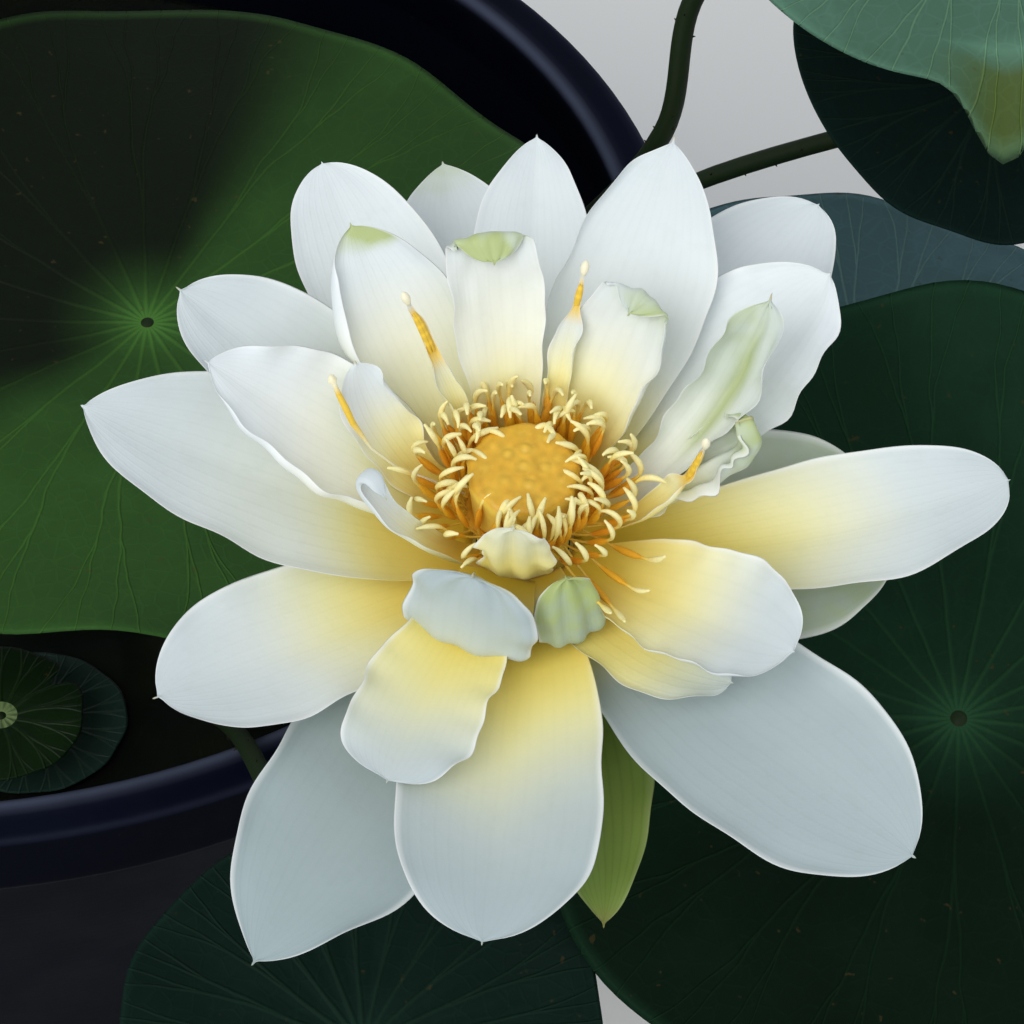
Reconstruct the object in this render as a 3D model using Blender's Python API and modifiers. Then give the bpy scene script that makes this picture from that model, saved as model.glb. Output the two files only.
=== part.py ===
"""A white lotus in a plain plastic bowl.

The bowl holds mud and a layer of water.  One flower stalk and eight leaf stalks stand in the mud, and
two small pads float on the water.  The flower leans over the rim of the bowl: seventeen large petals,
fourteen crumpled inner petals, a ring of stamens and a yellow receptacle sit round one hub.

Metres, +Z up, origin at the centre of the bowl's underside.  The bowl, the mud and the water are turned
shapes, the stalks are bevelled curves, and each petal and leaf is a grid bent by a formula and thickened.
"""
import math
from collections import namedtuple

import bmesh
import bpy
from mathutils import Matrix, Vector

# ---------------------------------------------------------------- driving dimensions
GAP = 0.0003                      # clearance between touching pieces

BOWL_HEIGHT = 0.150
RIM_RADIUS = 0.155                # outside of the rim band
RIM_BAND = 0.015                  # height of the rim band
RIM_STEP = 0.0075                 # how far the band stands out from the wall
LIP_WIDTH = 0.011                 # flat top of the rim
FOOT_RADIUS = 0.108
BOWL_WALL = 0.003
TURNED_STEPS = 40

SOIL_TOP = 0.095
WATER_TOP = 0.120
ROOT_DEPTH = 0.025                # how deep a stalk stands in the mud
CORNER_GAP = 0.006                # the mud keeps this far from the bowl's inner corner

HUB = Vector((0.120, -0.158, 0.236))   # where the petals meet, over the rim
FLOWER_TILT = math.radians(12)         # the flower's axis leans towards -Y

HUB_RADIUS = 0.0075               # receptacle where the lowest petals grow
HUB_FLARE = 0.07                  # how fast the receptacle widens upwards
RECEPTACLE_BASE = -0.0065
RECEPTACLE_TOP = 0.0275
STALK_RADIUS = 0.0030
FLOWER_ROOT = (75, -91)           # mm, where the flower's stalk leaves the mud
FLOWER_VIA = (88, -113, 162)      # mm, where it passes the rim of the bowl

COLLAR_LOW = 0.0150               # the ring that the stamens grow on
COLLAR_HIGH = 0.0166
COLLAR_WIDTH = 0.0012
STAMEN_COUNT = 24
STAMEN_LENGTH = 0.0150
STAMEN_RADIUS = 0.0006
STAMEN_LEAN = 0.54                # how far, in radians, the outer stamens lean at the back
STAMEN_FRONT = math.radians(262)  # the side where every stamen stands nearly upright

PETAL_THICKNESS = 0.0007
WHORL_STEP = 0.0021               # height between one ring of petals and the next
LEAF_THICKNESS = 0.0008

# ---------------------------------------------------------------- petals
# turn: compass angle round the flower's axis, 0 at +X; rise_base, rise_tip: climb at the two ends;
# length, width in mm; widest: where the petal is widest; blunt: 1 pointed, 2 round; sweep: how far it
# veers sideways; roll: its tilt about its own midrib; whorl: its ring, counted from the lowest;
# cup: half angle of its cross-section.
Petal = namedtuple(
    "Petal", "name turn rise_base rise_tip length width widest blunt sweep roll whorl cup")

PETALS = (
    Petal("petal_01", 176, 18, 24, 71, 37, 0.46, 1.35, -11, 0, 1.6, 22),
    Petal("petal_02", 214, 8, 10, 62, 31, 0.64, 1.7, -9, 2, 1, 20),
    Petal("petal_03", 243, 3, -2, 81, 36, 0.60, 1.2, -5, -3, 0, 22),
    Petal("petal_04", 267.5, 9, 4, 71, 36, 0.68, 1.8, -5, 0, 1, 22),
    Petal("petal_05", 244, 20, 2, 48, 23, 0.78, 2.6, 6, -2, 1.8, 22),
    Petal("petal_06", 314, 2, 1, 79, 38, 0.62, 1.7, 7, 2, 0, 22),
    Petal("petal_07", 353, 7, 14, 76, 26, 0.62, 2.2, 23, 5, 1, 22),
    Petal("petal_08", 3, 0, 0, 56.5, 41, 0.60, 1.7, 0, 7, 0, 12),
    Petal("petal_09", 49, 15, 13, 74, 31, 0.60, 1.9, 1, 0, 0, 22),
    Petal("petal_10", 34, 24, 30, 62, 30, 0.60, 1.6, 3, 2, 1.4, 22),
    Petal("petal_11", 59, 29, 27, 65, 29, 0.56, 1.15, 18, -2, 3, 22),
    Petal("petal_12", 88, 21, 19, 65, 24, 0.56, 1.35, 0, 0, 1.8, 22),
    Petal("petal_13", 101, 8, 4, 71, 29, 0.58, 1.25, -1, 0, 0, 22),
    Petal("petal_14", 122, 17, 17, 70, 27, 0.60, 1.8, -9, 0, 1, 22),
    Petal("petal_15", 134, 41, 44, 53, 25, 0.60, 1.5, -17, -6, 3.6, 22),
    Petal("petal_16", 155, 31, 28, 64, 28, 0.60, 1.7, -4, 0, 2.8, 22),
    Petal("petal_17", 170, 36, 39, 56, 27, 0.54, 1.3, -5, -8, 4.0, 22),
)

PETALOIDS = (
    Petal("petaloid_01", 168, 30, 62, 35, 13, 0.62, 1.8, -52, 0, 5, 30),
    Petal("petaloid_02", 127, 57, 58, 39, 5, 0.60, 1.3, 7, 0, 4.6, 30),
    Petal("petaloid_03", 99, 50, 58, 47, 17, 0.70, 2.4, 0, 0, 4, 30),
    Petal("petaloid_04", 73, 52, 50, 38, 5.4, 0.55, 1.5, -3, 0, 4.8, 30),
    Petal("petaloid_05", 53, 46, 52, 40, 20, 0.56, 1.8, 2, 0, 4, 30),
    Petal("petaloid_06", 8, 28, 46, 54, 17, 0.72, 1.5, 60, 0, 3.4, 30),
    Petal("petaloid_07", 7, 26, 40, 41, 13, 0.76, 1.8, 12, 0, 2.8, 30),
    Petal("petaloid_08", 352, 20, 84, 36, 6, 0.60, 1.4, 20, 0, 4.6, 30),
    Petal("petaloid_09", 325, 20, 14, 47, 25.5, 0.70, 2.2, 2, 4, 2.4, 30),
    Petal("petaloid_10", 248, -6, 124, 36, 24, 0.72, 2.0, 0, 0, 3.5, 14),
    Petal("petaloid_11", 290, -6, 118, 32, 12, 0.72, 2.0, 0, 0, 3.2, 24),
    Petal("petaloid_12", 226, 45, 68, 36, 7, 0.60, 1.6, -95, 0, 4.4, 30),
    Petal("petaloid_13", 266, 60, 88, 25, 13, 0.70, 2.0, 0, 0, 4.6, 24),
    Petal("petaloid_14", 309, 8, 5, 44, 19, 0.60, 1.9, 30, 0, 2.0, 22),
)

SEPALS = (
    Petal("sepal_1", 290, -6, -3, 61, 22, 0.50, 1.2, -20, 0, -1, 30),
    Petal("sepal_2", 140, 2, 6, 52, 20, 0.50, 1.2, 0, 0, -1, 30),
)

CLAW = 0.16                       # a petal's width at its base, as a share of its widest
TIP_CUP = 0.5                     # how much of the cup is left at the tip
BLADE_END = 0.985                 # a petal stops just short of its pointed end
FINE_STEPS = 8                    # steps along the midrib between two rows of points

# ---------------------------------------------------------------- leaves
# centre, root and via in mm; lean: tilt of the blade in degrees; facing: compass angle it tilts
# towards; dish: how far the middle sits below the margin, as a share of the radius; root: where the
# stalk leaves the mud; via: one or two points that the stalk passes on its way; stalk: its radius.
Leaf = namedtuple("Leaf", "name centre radius lean facing dish waves root via stalk")

LEAVES = (
    Leaf("leaf_left", (43, -35.5, 174), 88.5, 6, 270, 0.07, 3, (14, 6), (24, -10, 146), 2.2),
    Leaf("leaf_right", (199.5, -153.5, 187), 83, 20, 272, 0.12, 4, (92, -56), (130, -100, 166), 2.4),
    Leaf("leaf_front", (92, -213.5, 169), 43, 14, 285, 0.12, 3, (54, -92), (70, -143, 160), 1.9),
    Leaf("leaf_tall", (216.5, 18, 263), 68, 20, 260, 0.16, 3, (116, 30),
         (150, 22, 175, 158, 32, 208), 2.2),
    Leaf("leaf_rear_low", (191, -55, 163), 64.3, 6, 0, 0.10, 3, (112, -30), (140, -37, 156), 1.9),
    Leaf("leaf_rear_high", (214, -16, 223), 42, 16, 300, 0.12, 3, (113, 6), (146, 2, 172), 1.9),
    Leaf("leaf_back", (-62, 62, 214), 60, 18, 130, 0.14, 3, (-30, 34), (-42, 44, 166), 2.2),
    Leaf("leaf_side", (-112, -44, 186), 54, 20, 200, 0.13, 4, (-58, -20), (-82, -30, 154), 2.0),
)

PADS = (
    Leaf("pad_large", (15.5, -107, 134), 17, 4, 300, 0.03, 2, (-13, -96), (-8, -100, 128), 1.2),
    Leaf("pad_small", (20.5, -98, 120.9), 19, 0, 0, 0.0, 2, (20.5, -98), (20.5, -98, 120.5), 1.1),
)


# ---------------------------------------------------------------- small helpers
def clear_scene():
    for item in list(bpy.data.objects):
        bpy.data.objects.remove(item, do_unlink=True)


def new_collection(name, hidden=False):
    group = bpy.data.collections.new(name)
    bpy.context.scene.collection.children.link(group)
    group.hide_render = hidden
    return group


def move_to(item, group):
    for owner in list(item.users_collection):
        owner.objects.unlink(item)
    group.objects.link(item)


def material(name, colour, roughness, metallic=0.0):
    made = bpy.data.materials.new(name)
    made.use_nodes = True
    shader = made.node_tree.nodes["Principled BSDF"]
    shader.inputs["Base Color"].default_value = (*colour, 1.0)
    shader.inputs["Roughness"].default_value = roughness
    shader.inputs["Metallic"].default_value = metallic
    return made


def shade(item, made):
    item.data.materials.clear()
    item.data.materials.append(made)


def add_solidify(item, thickness):
    shell = item.modifiers.new("thickness", "SOLIDIFY")
    shell.thickness = thickness
    shell.offset = 0.0
    shell.use_even_offset = True


def turned(name, profile, made, group, steps=TURNED_STEPS):
    """A solid of revolution; the profile runs down its outer side, from the axis back to the axis."""
    mesh = bpy.data.meshes.new(name)
    form = bmesh.new()
    points = [form.verts.new((radius, 0.0, height)) for radius, height in profile]
    for start, end in zip(points, points[1:]):
        form.edges.new((start, end))
    form.to_mesh(mesh)
    form.free()
    item = bpy.data.objects.new(name, mesh)
    group.objects.link(item)
    screw = item.modifiers.new("turn", "SCREW")
    screw.steps = steps
    screw.render_steps = steps
    screw.use_merge_vertices = True
    screw.merge_threshold = 0.0001
    shade(item, made)
    return item


def smooth_route(points, samples):
    """Points along a smooth curve (centripetal Catmull-Rom) through a few route points."""
    route = [Vector(point) for point in points]
    ends = [route[0] * 2 - route[1]] + route + [route[-1] * 2 - route[-2]]
    out = [route[0]]
    for span in range(len(route) - 1):
        p0, p1, p2, p3 = ends[span:span + 4]
        t1 = math.sqrt((p1 - p0).length)
        t2 = t1 + math.sqrt((p2 - p1).length)
        t3 = t2 + math.sqrt((p3 - p2).length)
        for step in range(1, samples + 1):
            t = t1 + (t2 - t1) * step / samples
            a1 = p0.lerp(p1, t / t1)
            a2 = p1.lerp(p2, (t - t1) / (t2 - t1))
            a3 = p2.lerp(p3, (t - t2) / (t3 - t2))
            b1 = a1.lerp(a2, t / t2)
            b2 = a2.lerp(a3, (t - t1) / (t3 - t1))
            out.append(b1.lerp(b2, (t - t1) / (t2 - t1)))
    return out


def rod(name, points, radius, made, group):
    """A round rod along a list of points: a bevelled curve with filled ends."""
    curve = bpy.data.curves.new(name, "CURVE")
    curve.dimensions = "3D"
    curve.bevel_depth = radius
    curve.bevel_resolution = 2
    curve.use_fill_caps = True
    spline = curve.splines.new("POLY")
    spline.points.add(len(points) - 1)
    for knot, point in zip(spline.points, points):
        knot.co = (*point, 1.0)
    item = bpy.data.objects.new(name, curve)
    group.objects.link(item)
    shade(item, made)
    return item


def as_mesh(item, group):
    """A curve object turned into a welded mesh object of the same name and place."""
    graph = bpy.context.evaluated_depsgraph_get()
    mesh = bpy.data.meshes.new_from_object(item.evaluated_get(graph))
    form = bmesh.new()
    form.from_mesh(mesh)
    bmesh.ops.remove_doubles(form, verts=form.verts, dist=0.00001)
    form.to_mesh(mesh)
    form.free()
    name = item.name
    place = item.matrix_world.copy()
    bpy.data.objects.remove(item, do_unlink=True)
    made = bpy.data.objects.new(name, mesh)
    group.objects.link(made)
    made.matrix_world = place
    return made


def grid_item(name, points, made, group, thickness):
    """A sheet through a table of points, thickened: a primitive grid moved onto those points."""
    rows = len(points)
    columns = len(points[0])
    bpy.ops.mesh.primitive_grid_add(x_subdivisions=columns - 1, y_subdivisions=rows - 1, size=2.0)
    item = bpy.context.active_object
    item.name = name
    item.data.name = name
    for vertex in item.data.vertices:
        column = round((vertex.co.x + 1) / 2 * (columns - 1))
        row = round((vertex.co.y + 1) / 2 * (rows - 1))
        vertex.co = points[row][column]
    item.data.shade_smooth()
    move_to(item, group)
    add_solidify(item, thickness)
    shade(item, made)
    return item


# ---------------------------------------------------------------- bowl, mud and water
def inner_radius(height):
    """Inside radius of the bowl's straight tapering wall at a height."""
    low = BOWL_WALL
    high = BOWL_HEIGHT - RIM_BAND
    share = (height - low) / (high - low)
    narrow = FOOT_RADIUS - BOWL_WALL
    wide = RIM_RADIUS - RIM_STEP - BOWL_WALL
    return narrow + (wide - narrow) * share


def make_bowl(made, group):
    wall = RIM_RADIUS - RIM_STEP
    band_foot = BOWL_HEIGHT - RIM_BAND
    bevel = 0.0012
    inside = [
        (0.0, BOWL_WALL),
        (inner_radius(BOWL_WALL) - 0.004, BOWL_WALL),
        (inner_radius(BOWL_WALL + 0.004), BOWL_WALL + 0.004),
        (inner_radius(band_foot), band_foot),
        (RIM_RADIUS - LIP_WIDTH, BOWL_HEIGHT - bevel),
        (RIM_RADIUS - LIP_WIDTH + bevel, BOWL_HEIGHT),
    ]
    outside = [
        (RIM_RADIUS - bevel, BOWL_HEIGHT),
        (RIM_RADIUS, BOWL_HEIGHT - bevel),
        (RIM_RADIUS, band_foot + bevel),
        (RIM_RADIUS - bevel, band_foot),
        (wall, band_foot),
        (FOOT_RADIUS, 0.003),
        (FOOT_RADIUS - 0.003, 0.0),
        (0.0, 0.0),
    ]
    return turned("bowl", inside + outside, made, group)


def fill_profile(low, high):
    """Outline of a filling that keeps the gap to the bowl's wall between two heights."""
    return [
        (0.0, high),
        (inner_radius(high) - GAP, high),
        (inner_radius(low) - GAP, low),
        (0.0, low),
    ]


def soil_profile():
    low = BOWL_WALL + GAP
    corner = BOWL_WALL + CORNER_GAP - 0.001
    return [
        (0.0, SOIL_TOP),
        (inner_radius(SOIL_TOP) - GAP, SOIL_TOP),
        (inner_radius(corner) - 2 * GAP, corner),
        (inner_radius(low) - CORNER_GAP, low),
        (0.0, low),
    ]


def drill(item, roots, low, high, cutters):
    """Cut one upright hole for each stalk, between two heights."""
    for name, x, y, radius in roots:
        bpy.ops.mesh.primitive_cylinder_add(
            vertices=12, radius=radius / math.cos(math.pi / 12) + GAP, depth=high - low,
            location=(x, y, (low + high) / 2))
        cutter = bpy.context.active_object
        cutter.name = "cut_" + item.name + "_" + name
        move_to(cutter, cutters)
        cutter.hide_render = True
        cutter.display_type = "WIRE"
        cut = item.modifiers.new("hole_" + name, "BOOLEAN")
        cut.operation = "DIFFERENCE"
        cut.object = cutter


# ---------------------------------------------------------------- flower
def hub_radius(height):
    """Radius of the receptacle at a height above the lowest petals."""
    return HUB_RADIUS + HUB_FLARE * max(height, 0.0)


def petal_outline(along, spec):
    """Half width of a petal, as a share of its widest, at a share of its length."""
    if along < spec.widest:
        return CLAW + (1 - CLAW) * math.sin(math.pi / 2 * along / spec.widest)
    past = (along - spec.widest) / (1 - spec.widest)
    return max(1 - past ** 2.2, 0.0) ** (1 / spec.blunt)


def midrib_axes(spec, along):
    """Directions ahead and to the side of a petal's midrib, at a share of its length."""
    heading = math.radians(spec.turn + spec.sweep * along)
    rise = math.radians(spec.rise_base + (spec.rise_tip - spec.rise_base) * along)
    outward = Vector((math.cos(heading), math.sin(heading), 0.0))
    side = Vector((-math.sin(heading), math.cos(heading), 0.0))
    ahead = outward * math.cos(rise) + Vector((0.0, 0.0, math.sin(rise)))
    return ahead, side


def petal_sheet(spec, rows, columns):
    """Points of a petal's middle surface, base to tip, in the flower's own frame."""
    height = spec.whorl * WHORL_STEP
    start = hub_radius(height) + PETAL_THICKNESS / 2 + 2 * GAP
    turn = math.radians(spec.turn)
    place = Vector((start * math.cos(turn), start * math.sin(turn), height))
    step = spec.length / 1000 * BLADE_END / (rows * FINE_STEPS)
    sheet = []
    for row in range(rows + 1):
        along = row / rows * BLADE_END
        ahead, side = midrib_axes(spec, along)
        roll = Matrix.Rotation(math.radians(spec.roll), 3, ahead)
        across = roll @ side
        up = roll @ ahead.cross(side)
        cup = math.radians(spec.cup) * (1 - (1 - TIP_CUP) * along)
        reach = spec.width / 2000 * petal_outline(along, spec) / cup
        line = []
        for column in range(columns + 1):
            bend = cup * (2 * column / columns - 1)
            line.append(place + across * (reach * math.sin(bend))
                        + up * (reach * (1 - math.cos(bend))))
        sheet.append(line)
        for part in range(FINE_STEPS):
            between = (row + (part + 0.5) / FINE_STEPS) / rows * BLADE_END
            place = place + midrib_axes(spec, between)[0] * step
    return sheet


def make_petal(spec, made, group, frame, rows=8, columns=4):
    item = grid_item(spec.name, petal_sheet(spec, rows, columns), made, group, PETAL_THICKNESS)
    item.parent = frame
    return item


def make_receptacle(made, group, frame):
    top = hub_radius(RECEPTACLE_TOP)
    profile = [
        (0.0, RECEPTACLE_TOP + 0.0006),
        (top - 0.0035, RECEPTACLE_TOP + 0.0003),
        (top - 0.0010, RECEPTACLE_TOP - 0.0003),
        (top, RECEPTACLE_TOP - 0.0014),
        (hub_radius(COLLAR_HIGH), COLLAR_HIGH),
        (hub_radius(COLLAR_LOW), COLLAR_LOW),
        (HUB_RADIUS, 0.0),
        (HUB_RADIUS, -0.0032),
        (STALK_RADIUS * 1.15, RECEPTACLE_BASE),
        (0.0, RECEPTACLE_BASE),
    ]
    item = turned("receptacle", profile, made, group, 28)
    item.parent = frame
    return item


def make_stamens(made, group, frame, cutters):
    """One body: a collar round the receptacle with a ring of rods grown from it."""
    inner = hub_radius(COLLAR_HIGH) + 2 * GAP
    profile = [
        (inner, COLLAR_HIGH),
        (inner + COLLAR_WIDTH, COLLAR_HIGH),
        (inner + COLLAR_WIDTH, COLLAR_LOW),
        (inner, COLLAR_LOW),
        (inner, COLLAR_HIGH),
    ]
    collar = turned("stamens", profile, made, group, STAMEN_COUNT)
    for index in range(STAMEN_COUNT):
        turn = 2 * math.pi * (index + 0.5) / STAMEN_COUNT
        spread = 0.5 - 0.5 * math.cos(turn - STAMEN_FRONT)
        lean = 0.06 + STAMEN_LEAN * spread * (index % 3) / 2
        outward = Vector((math.cos(turn), math.sin(turn), 0.0))
        foot = outward * (inner + COLLAR_WIDTH / 2)
        foot.z = (COLLAR_LOW + COLLAR_HIGH) / 2
        ahead = outward * math.sin(lean) + Vector((0.0, 0.0, math.cos(lean)))
        points = [foot, foot + ahead * STAMEN_LENGTH / 2, foot + ahead * STAMEN_LENGTH]
        piece = rod("rod", points, STAMEN_RADIUS, made, cutters)
        piece.data.bevel_resolution = 0
        piece = as_mesh(piece, cutters)
        piece.name = "stamen_rod_%02d" % (index + 1)
        piece.parent = frame
        piece.hide_render = True
        piece.display_type = "WIRE"
        join = collar.modifiers.new("rod_%02d" % (index + 1), "BOOLEAN")
        join.operation = "UNION"
        join.object = piece
    collar.parent = frame
    return collar


# ---------------------------------------------------------------- leaves
def disc_place(u, v):
    """A point of the square from -1 to 1 moved into the unit disc, edges onto the circle."""
    return u * math.sqrt(1 - v * v / 2), v * math.sqrt(1 - u * u / 2)


def leaf_matrix(spec):
    centre = Vector(spec.centre) / 1000
    facing = math.radians(spec.facing)
    axis = Vector((-math.sin(facing), math.cos(facing), 0.0))
    return Matrix.Translation(centre) @ Matrix.Rotation(math.radians(spec.lean), 4, axis)


def leaf_sheet(spec, cells):
    """Points of a round leaf's middle surface: flat where the stalk meets it, dished and wavy outside."""
    place = leaf_matrix(spec)
    radius = spec.radius / 1000
    sheet = []
    for row in range(cells + 1):
        line = []
        for column in range(cells + 1):
            x, y = disc_place(2 * column / cells - 1, 2 * row / cells - 1)
            out = math.hypot(x, y)
            turn = math.atan2(y, x)
            lift = spec.dish * max(out - 0.12, 0.0) ** 1.3
            ripple = 0.045 * out ** 3 * math.sin(spec.waves * turn + spec.radius)
            if spec.dish < 0.05:
                ripple = 0.0
            line.append(place @ Vector((x * radius, y * radius, (lift + ripple) * radius)))
        sheet.append(line)
    return sheet


def leaf_stalk_route(spec):
    """Up from the mud, upright through the water, past its via, then square to the blade."""
    place = leaf_matrix(spec)
    root = Vector((spec.root[0] / 1000, spec.root[1] / 1000, SOIL_TOP - ROOT_DEPTH))
    surface = Vector((root.x, root.y, WATER_TOP + 0.001))
    under = LEAF_THICKNESS / 2 + GAP
    top = place @ Vector((0.0, 0.0, -under))
    if top.z < WATER_TOP + 0.002:
        return [root, (root + top) / 2, top]
    neck = place @ Vector((0.0, 0.0, -under - 2.5 * spec.stalk / 1000))
    vias = [Vector(spec.via[start:start + 3]) / 1000 for start in range(0, len(spec.via), 3)]
    return [root] + smooth_route([surface, *vias, neck, top], 5)


def make_leaf(spec, leaf_material, stalk_material, group, cells):
    grid_item(spec.name, leaf_sheet(spec, cells), leaf_material, group, LEAF_THICKNESS)
    rod(spec.name + "_stalk", leaf_stalk_route(spec), spec.stalk / 1000, stalk_material, group)


def flower_stalk_route():
    root = Vector((FLOWER_ROOT[0] / 1000, FLOWER_ROOT[1] / 1000, SOIL_TOP - ROOT_DEPTH))
    surface = Vector((root.x, root.y, WATER_TOP + 0.001))
    axis = Vector((0.0, -math.sin(FLOWER_TILT), math.cos(FLOWER_TILT)))
    top = HUB + axis * (RECEPTACLE_BASE - GAP)
    neck = HUB + axis * (RECEPTACLE_BASE - 0.014)
    return [root] + smooth_route([surface, Vector(FLOWER_VIA) / 1000, neck, top], 6)


def main():
    clear_scene()
    parts = new_collection("lotus flower in bowl")
    cutters = new_collection("cutters", hidden=True)

    plastic = material("bowl plastic", (0.020, 0.022, 0.040), 0.45)
    mud = material("mud", (0.045, 0.033, 0.024), 0.9)
    pond = material("water", (0.02, 0.03, 0.03), 0.08)
    stem_green = material("stalk green", (0.12, 0.22, 0.06), 0.55)
    leaf_green = material("leaf green", (0.03, 0.11, 0.03), 0.5)
    white = material("petal white", (0.86, 0.87, 0.84), 0.5)
    cream = material("inner petal cream", (0.88, 0.86, 0.66), 0.5)
    sepal_green = material("sepal green", (0.30, 0.42, 0.14), 0.5)
    yellow = material("receptacle yellow", (0.85, 0.55, 0.05), 0.5)
    orange = material("stamen yellow", (0.90, 0.66, 0.22), 0.5)

    make_bowl(plastic, parts)
    soil = turned("soil", soil_profile(), mud, parts)
    water = turned("water", fill_profile(SOIL_TOP + GAP, WATER_TOP), pond, parts)

    frame = bpy.data.objects.new("flower_frame", None)
    parts.objects.link(frame)
    frame.location = HUB
    frame.rotation_euler = (FLOWER_TILT, 0.0, 0.0)

    make_receptacle(yellow, parts, frame)
    make_stamens(orange, parts, frame, cutters)
    for spec in PETALS:
        make_petal(spec, white, parts, frame)
    for spec in PETALOIDS:
        make_petal(spec, cream, parts, frame, rows=6)
    for spec in SEPALS:
        make_petal(spec, sepal_green, parts, frame, rows=6)

    rod("flower_stalk", flower_stalk_route(), STALK_RADIUS, stem_green, parts)
    for spec in LEAVES:
        make_leaf(spec, leaf_green, stem_green, parts, 8)
    for spec in PADS:
        make_leaf(spec, leaf_green, stem_green, parts, 6)

    roots = [("flower", FLOWER_ROOT[0] / 1000, FLOWER_ROOT[1] / 1000, STALK_RADIUS)]
    for spec in LEAVES + PADS:
        roots.append((spec.name, spec.root[0] / 1000, spec.root[1] / 1000, spec.stalk / 1000))
    drill(soil, roots, SOIL_TOP - ROOT_DEPTH - GAP, SOIL_TOP + 0.01, cutters)
    drill(water, roots, SOIL_TOP - 0.01, WATER_TOP + 0.01, cutters)


main()
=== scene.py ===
import math
import random
from collections import namedtuple

import bpy
import numpy as np
from mathutils import Matrix, Vector, noise


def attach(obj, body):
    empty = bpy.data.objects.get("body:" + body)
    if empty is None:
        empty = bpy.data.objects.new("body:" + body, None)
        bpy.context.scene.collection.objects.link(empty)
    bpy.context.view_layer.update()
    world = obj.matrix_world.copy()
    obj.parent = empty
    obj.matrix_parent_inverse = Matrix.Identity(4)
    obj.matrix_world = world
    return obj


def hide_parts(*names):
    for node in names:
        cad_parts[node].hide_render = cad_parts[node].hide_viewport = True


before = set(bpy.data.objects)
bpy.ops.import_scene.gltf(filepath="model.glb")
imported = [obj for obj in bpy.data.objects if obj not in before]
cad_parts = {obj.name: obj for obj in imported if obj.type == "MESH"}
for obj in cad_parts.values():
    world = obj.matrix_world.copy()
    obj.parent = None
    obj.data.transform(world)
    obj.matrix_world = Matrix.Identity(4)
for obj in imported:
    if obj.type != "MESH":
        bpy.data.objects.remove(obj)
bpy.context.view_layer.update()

# The looks of a white lotus in its bowl.  Every petal, leaf, stalk and stamen is a closed mesh made
# here from the same named values as the CAD part, with the finer shape that the CAD leaves out.
# Metres, +Z up, origin at the centre of the bowl's underside.

MM = 0.001

# ---------------------------------------------------------------- sizes shared with the CAD part
BOWL_HEIGHT = 0.150
RIM_RADIUS = 0.155
RIM_BAND = 0.015
RIM_STEP = 0.0075
LIP_WIDTH = 0.011
FOOT_RADIUS = 0.108
BOWL_WALL = 0.003
SOIL_TOP = 0.095
WATER_TOP = 0.120

HUB = Vector((0.120, -0.158, 0.236))
FLOWER_TILT = math.radians(12)
HUB_RADIUS = 0.0075
HUB_FLARE = 0.07
RECEPTACLE_BASE = -0.0065
RECEPTACLE_TOP = 0.0275
STALK_RADIUS = 0.0030
FLOWER_ROOT = (75, -91)
FLOWER_VIA = (88, -113, 162)
PETAL_THICKNESS = 0.0007
WHORL_STEP = 0.0021
LEAF_THICKNESS = 0.0008
GAP = 0.0003
COLLAR_LOW = 0.0150
COLLAR_HIGH = 0.0166
TIP_CUP = 0.5

# turn and sweep: compass angle at the base and how far it veers; rise_base, rise_tip: climb at the two
# ends; length, width in mm; widest, blunt: outline; roll: tilt about the midrib; whorl: ring; cup: half
# angle of the cross-section.
Petal = namedtuple(
    "Petal", "name turn rise_base rise_tip length width widest blunt sweep roll whorl cup")

PETALS = (
    Petal("petal_01", 176, 18, 24, 71, 37, 0.46, 1.35, -11, 0, 1.6, 22),
    Petal("petal_02", 214, 8, 10, 62, 31, 0.64, 1.7, -9, 2, 1, 20),
    Petal("petal_03", 243, 3, -2, 81, 36, 0.60, 1.2, -5, -3, 0, 22),
    Petal("petal_04", 267.5, 9, 4, 71, 36, 0.68, 1.8, -5, 0, 1, 22),
    Petal("petal_05", 244, 20, 2, 48, 23, 0.78, 2.6, 6, -2, 1.8, 22),
    Petal("petal_06", 314, 2, 1, 79, 38, 0.62, 1.7, 7, 2, 0, 22),
    Petal("petal_07", 353, 7, 14, 76, 26, 0.62, 2.2, 23, 5, 1, 22),
    Petal("petal_08", 3, 0, 0, 56.5, 41, 0.60, 1.7, 0, 7, 0, 12),
    Petal("petal_09", 49, 15, 13, 74, 31, 0.60, 1.9, 1, 0, 0, 22),
    Petal("petal_10", 34, 24, 30, 62, 30, 0.60, 1.6, 3, 2, 1.4, 22),
    Petal("petal_11", 59, 29, 27, 65, 29, 0.56, 1.15, 18, -2, 3, 22),
    Petal("petal_12", 88, 21, 19, 65, 24, 0.56, 1.35, 0, 0, 1.8, 22),
    Petal("petal_13", 101, 8, 4, 71, 29, 0.58, 1.25, -1, 0, 0, 22),
    Petal("petal_14", 122, 17, 17, 70, 27, 0.60, 1.8, -9, 0, 1, 22),
    Petal("petal_15", 134, 41, 44, 53, 25, 0.60, 1.5, -17, -6, 3.6, 22),
    Petal("petal_16", 155, 31, 28, 64, 28, 0.60, 1.7, -4, 0, 2.8, 22),
    Petal("petal_17", 170, 36, 39, 56, 27, 0.54, 1.3, -5, -8, 4.0, 22),
)

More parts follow.
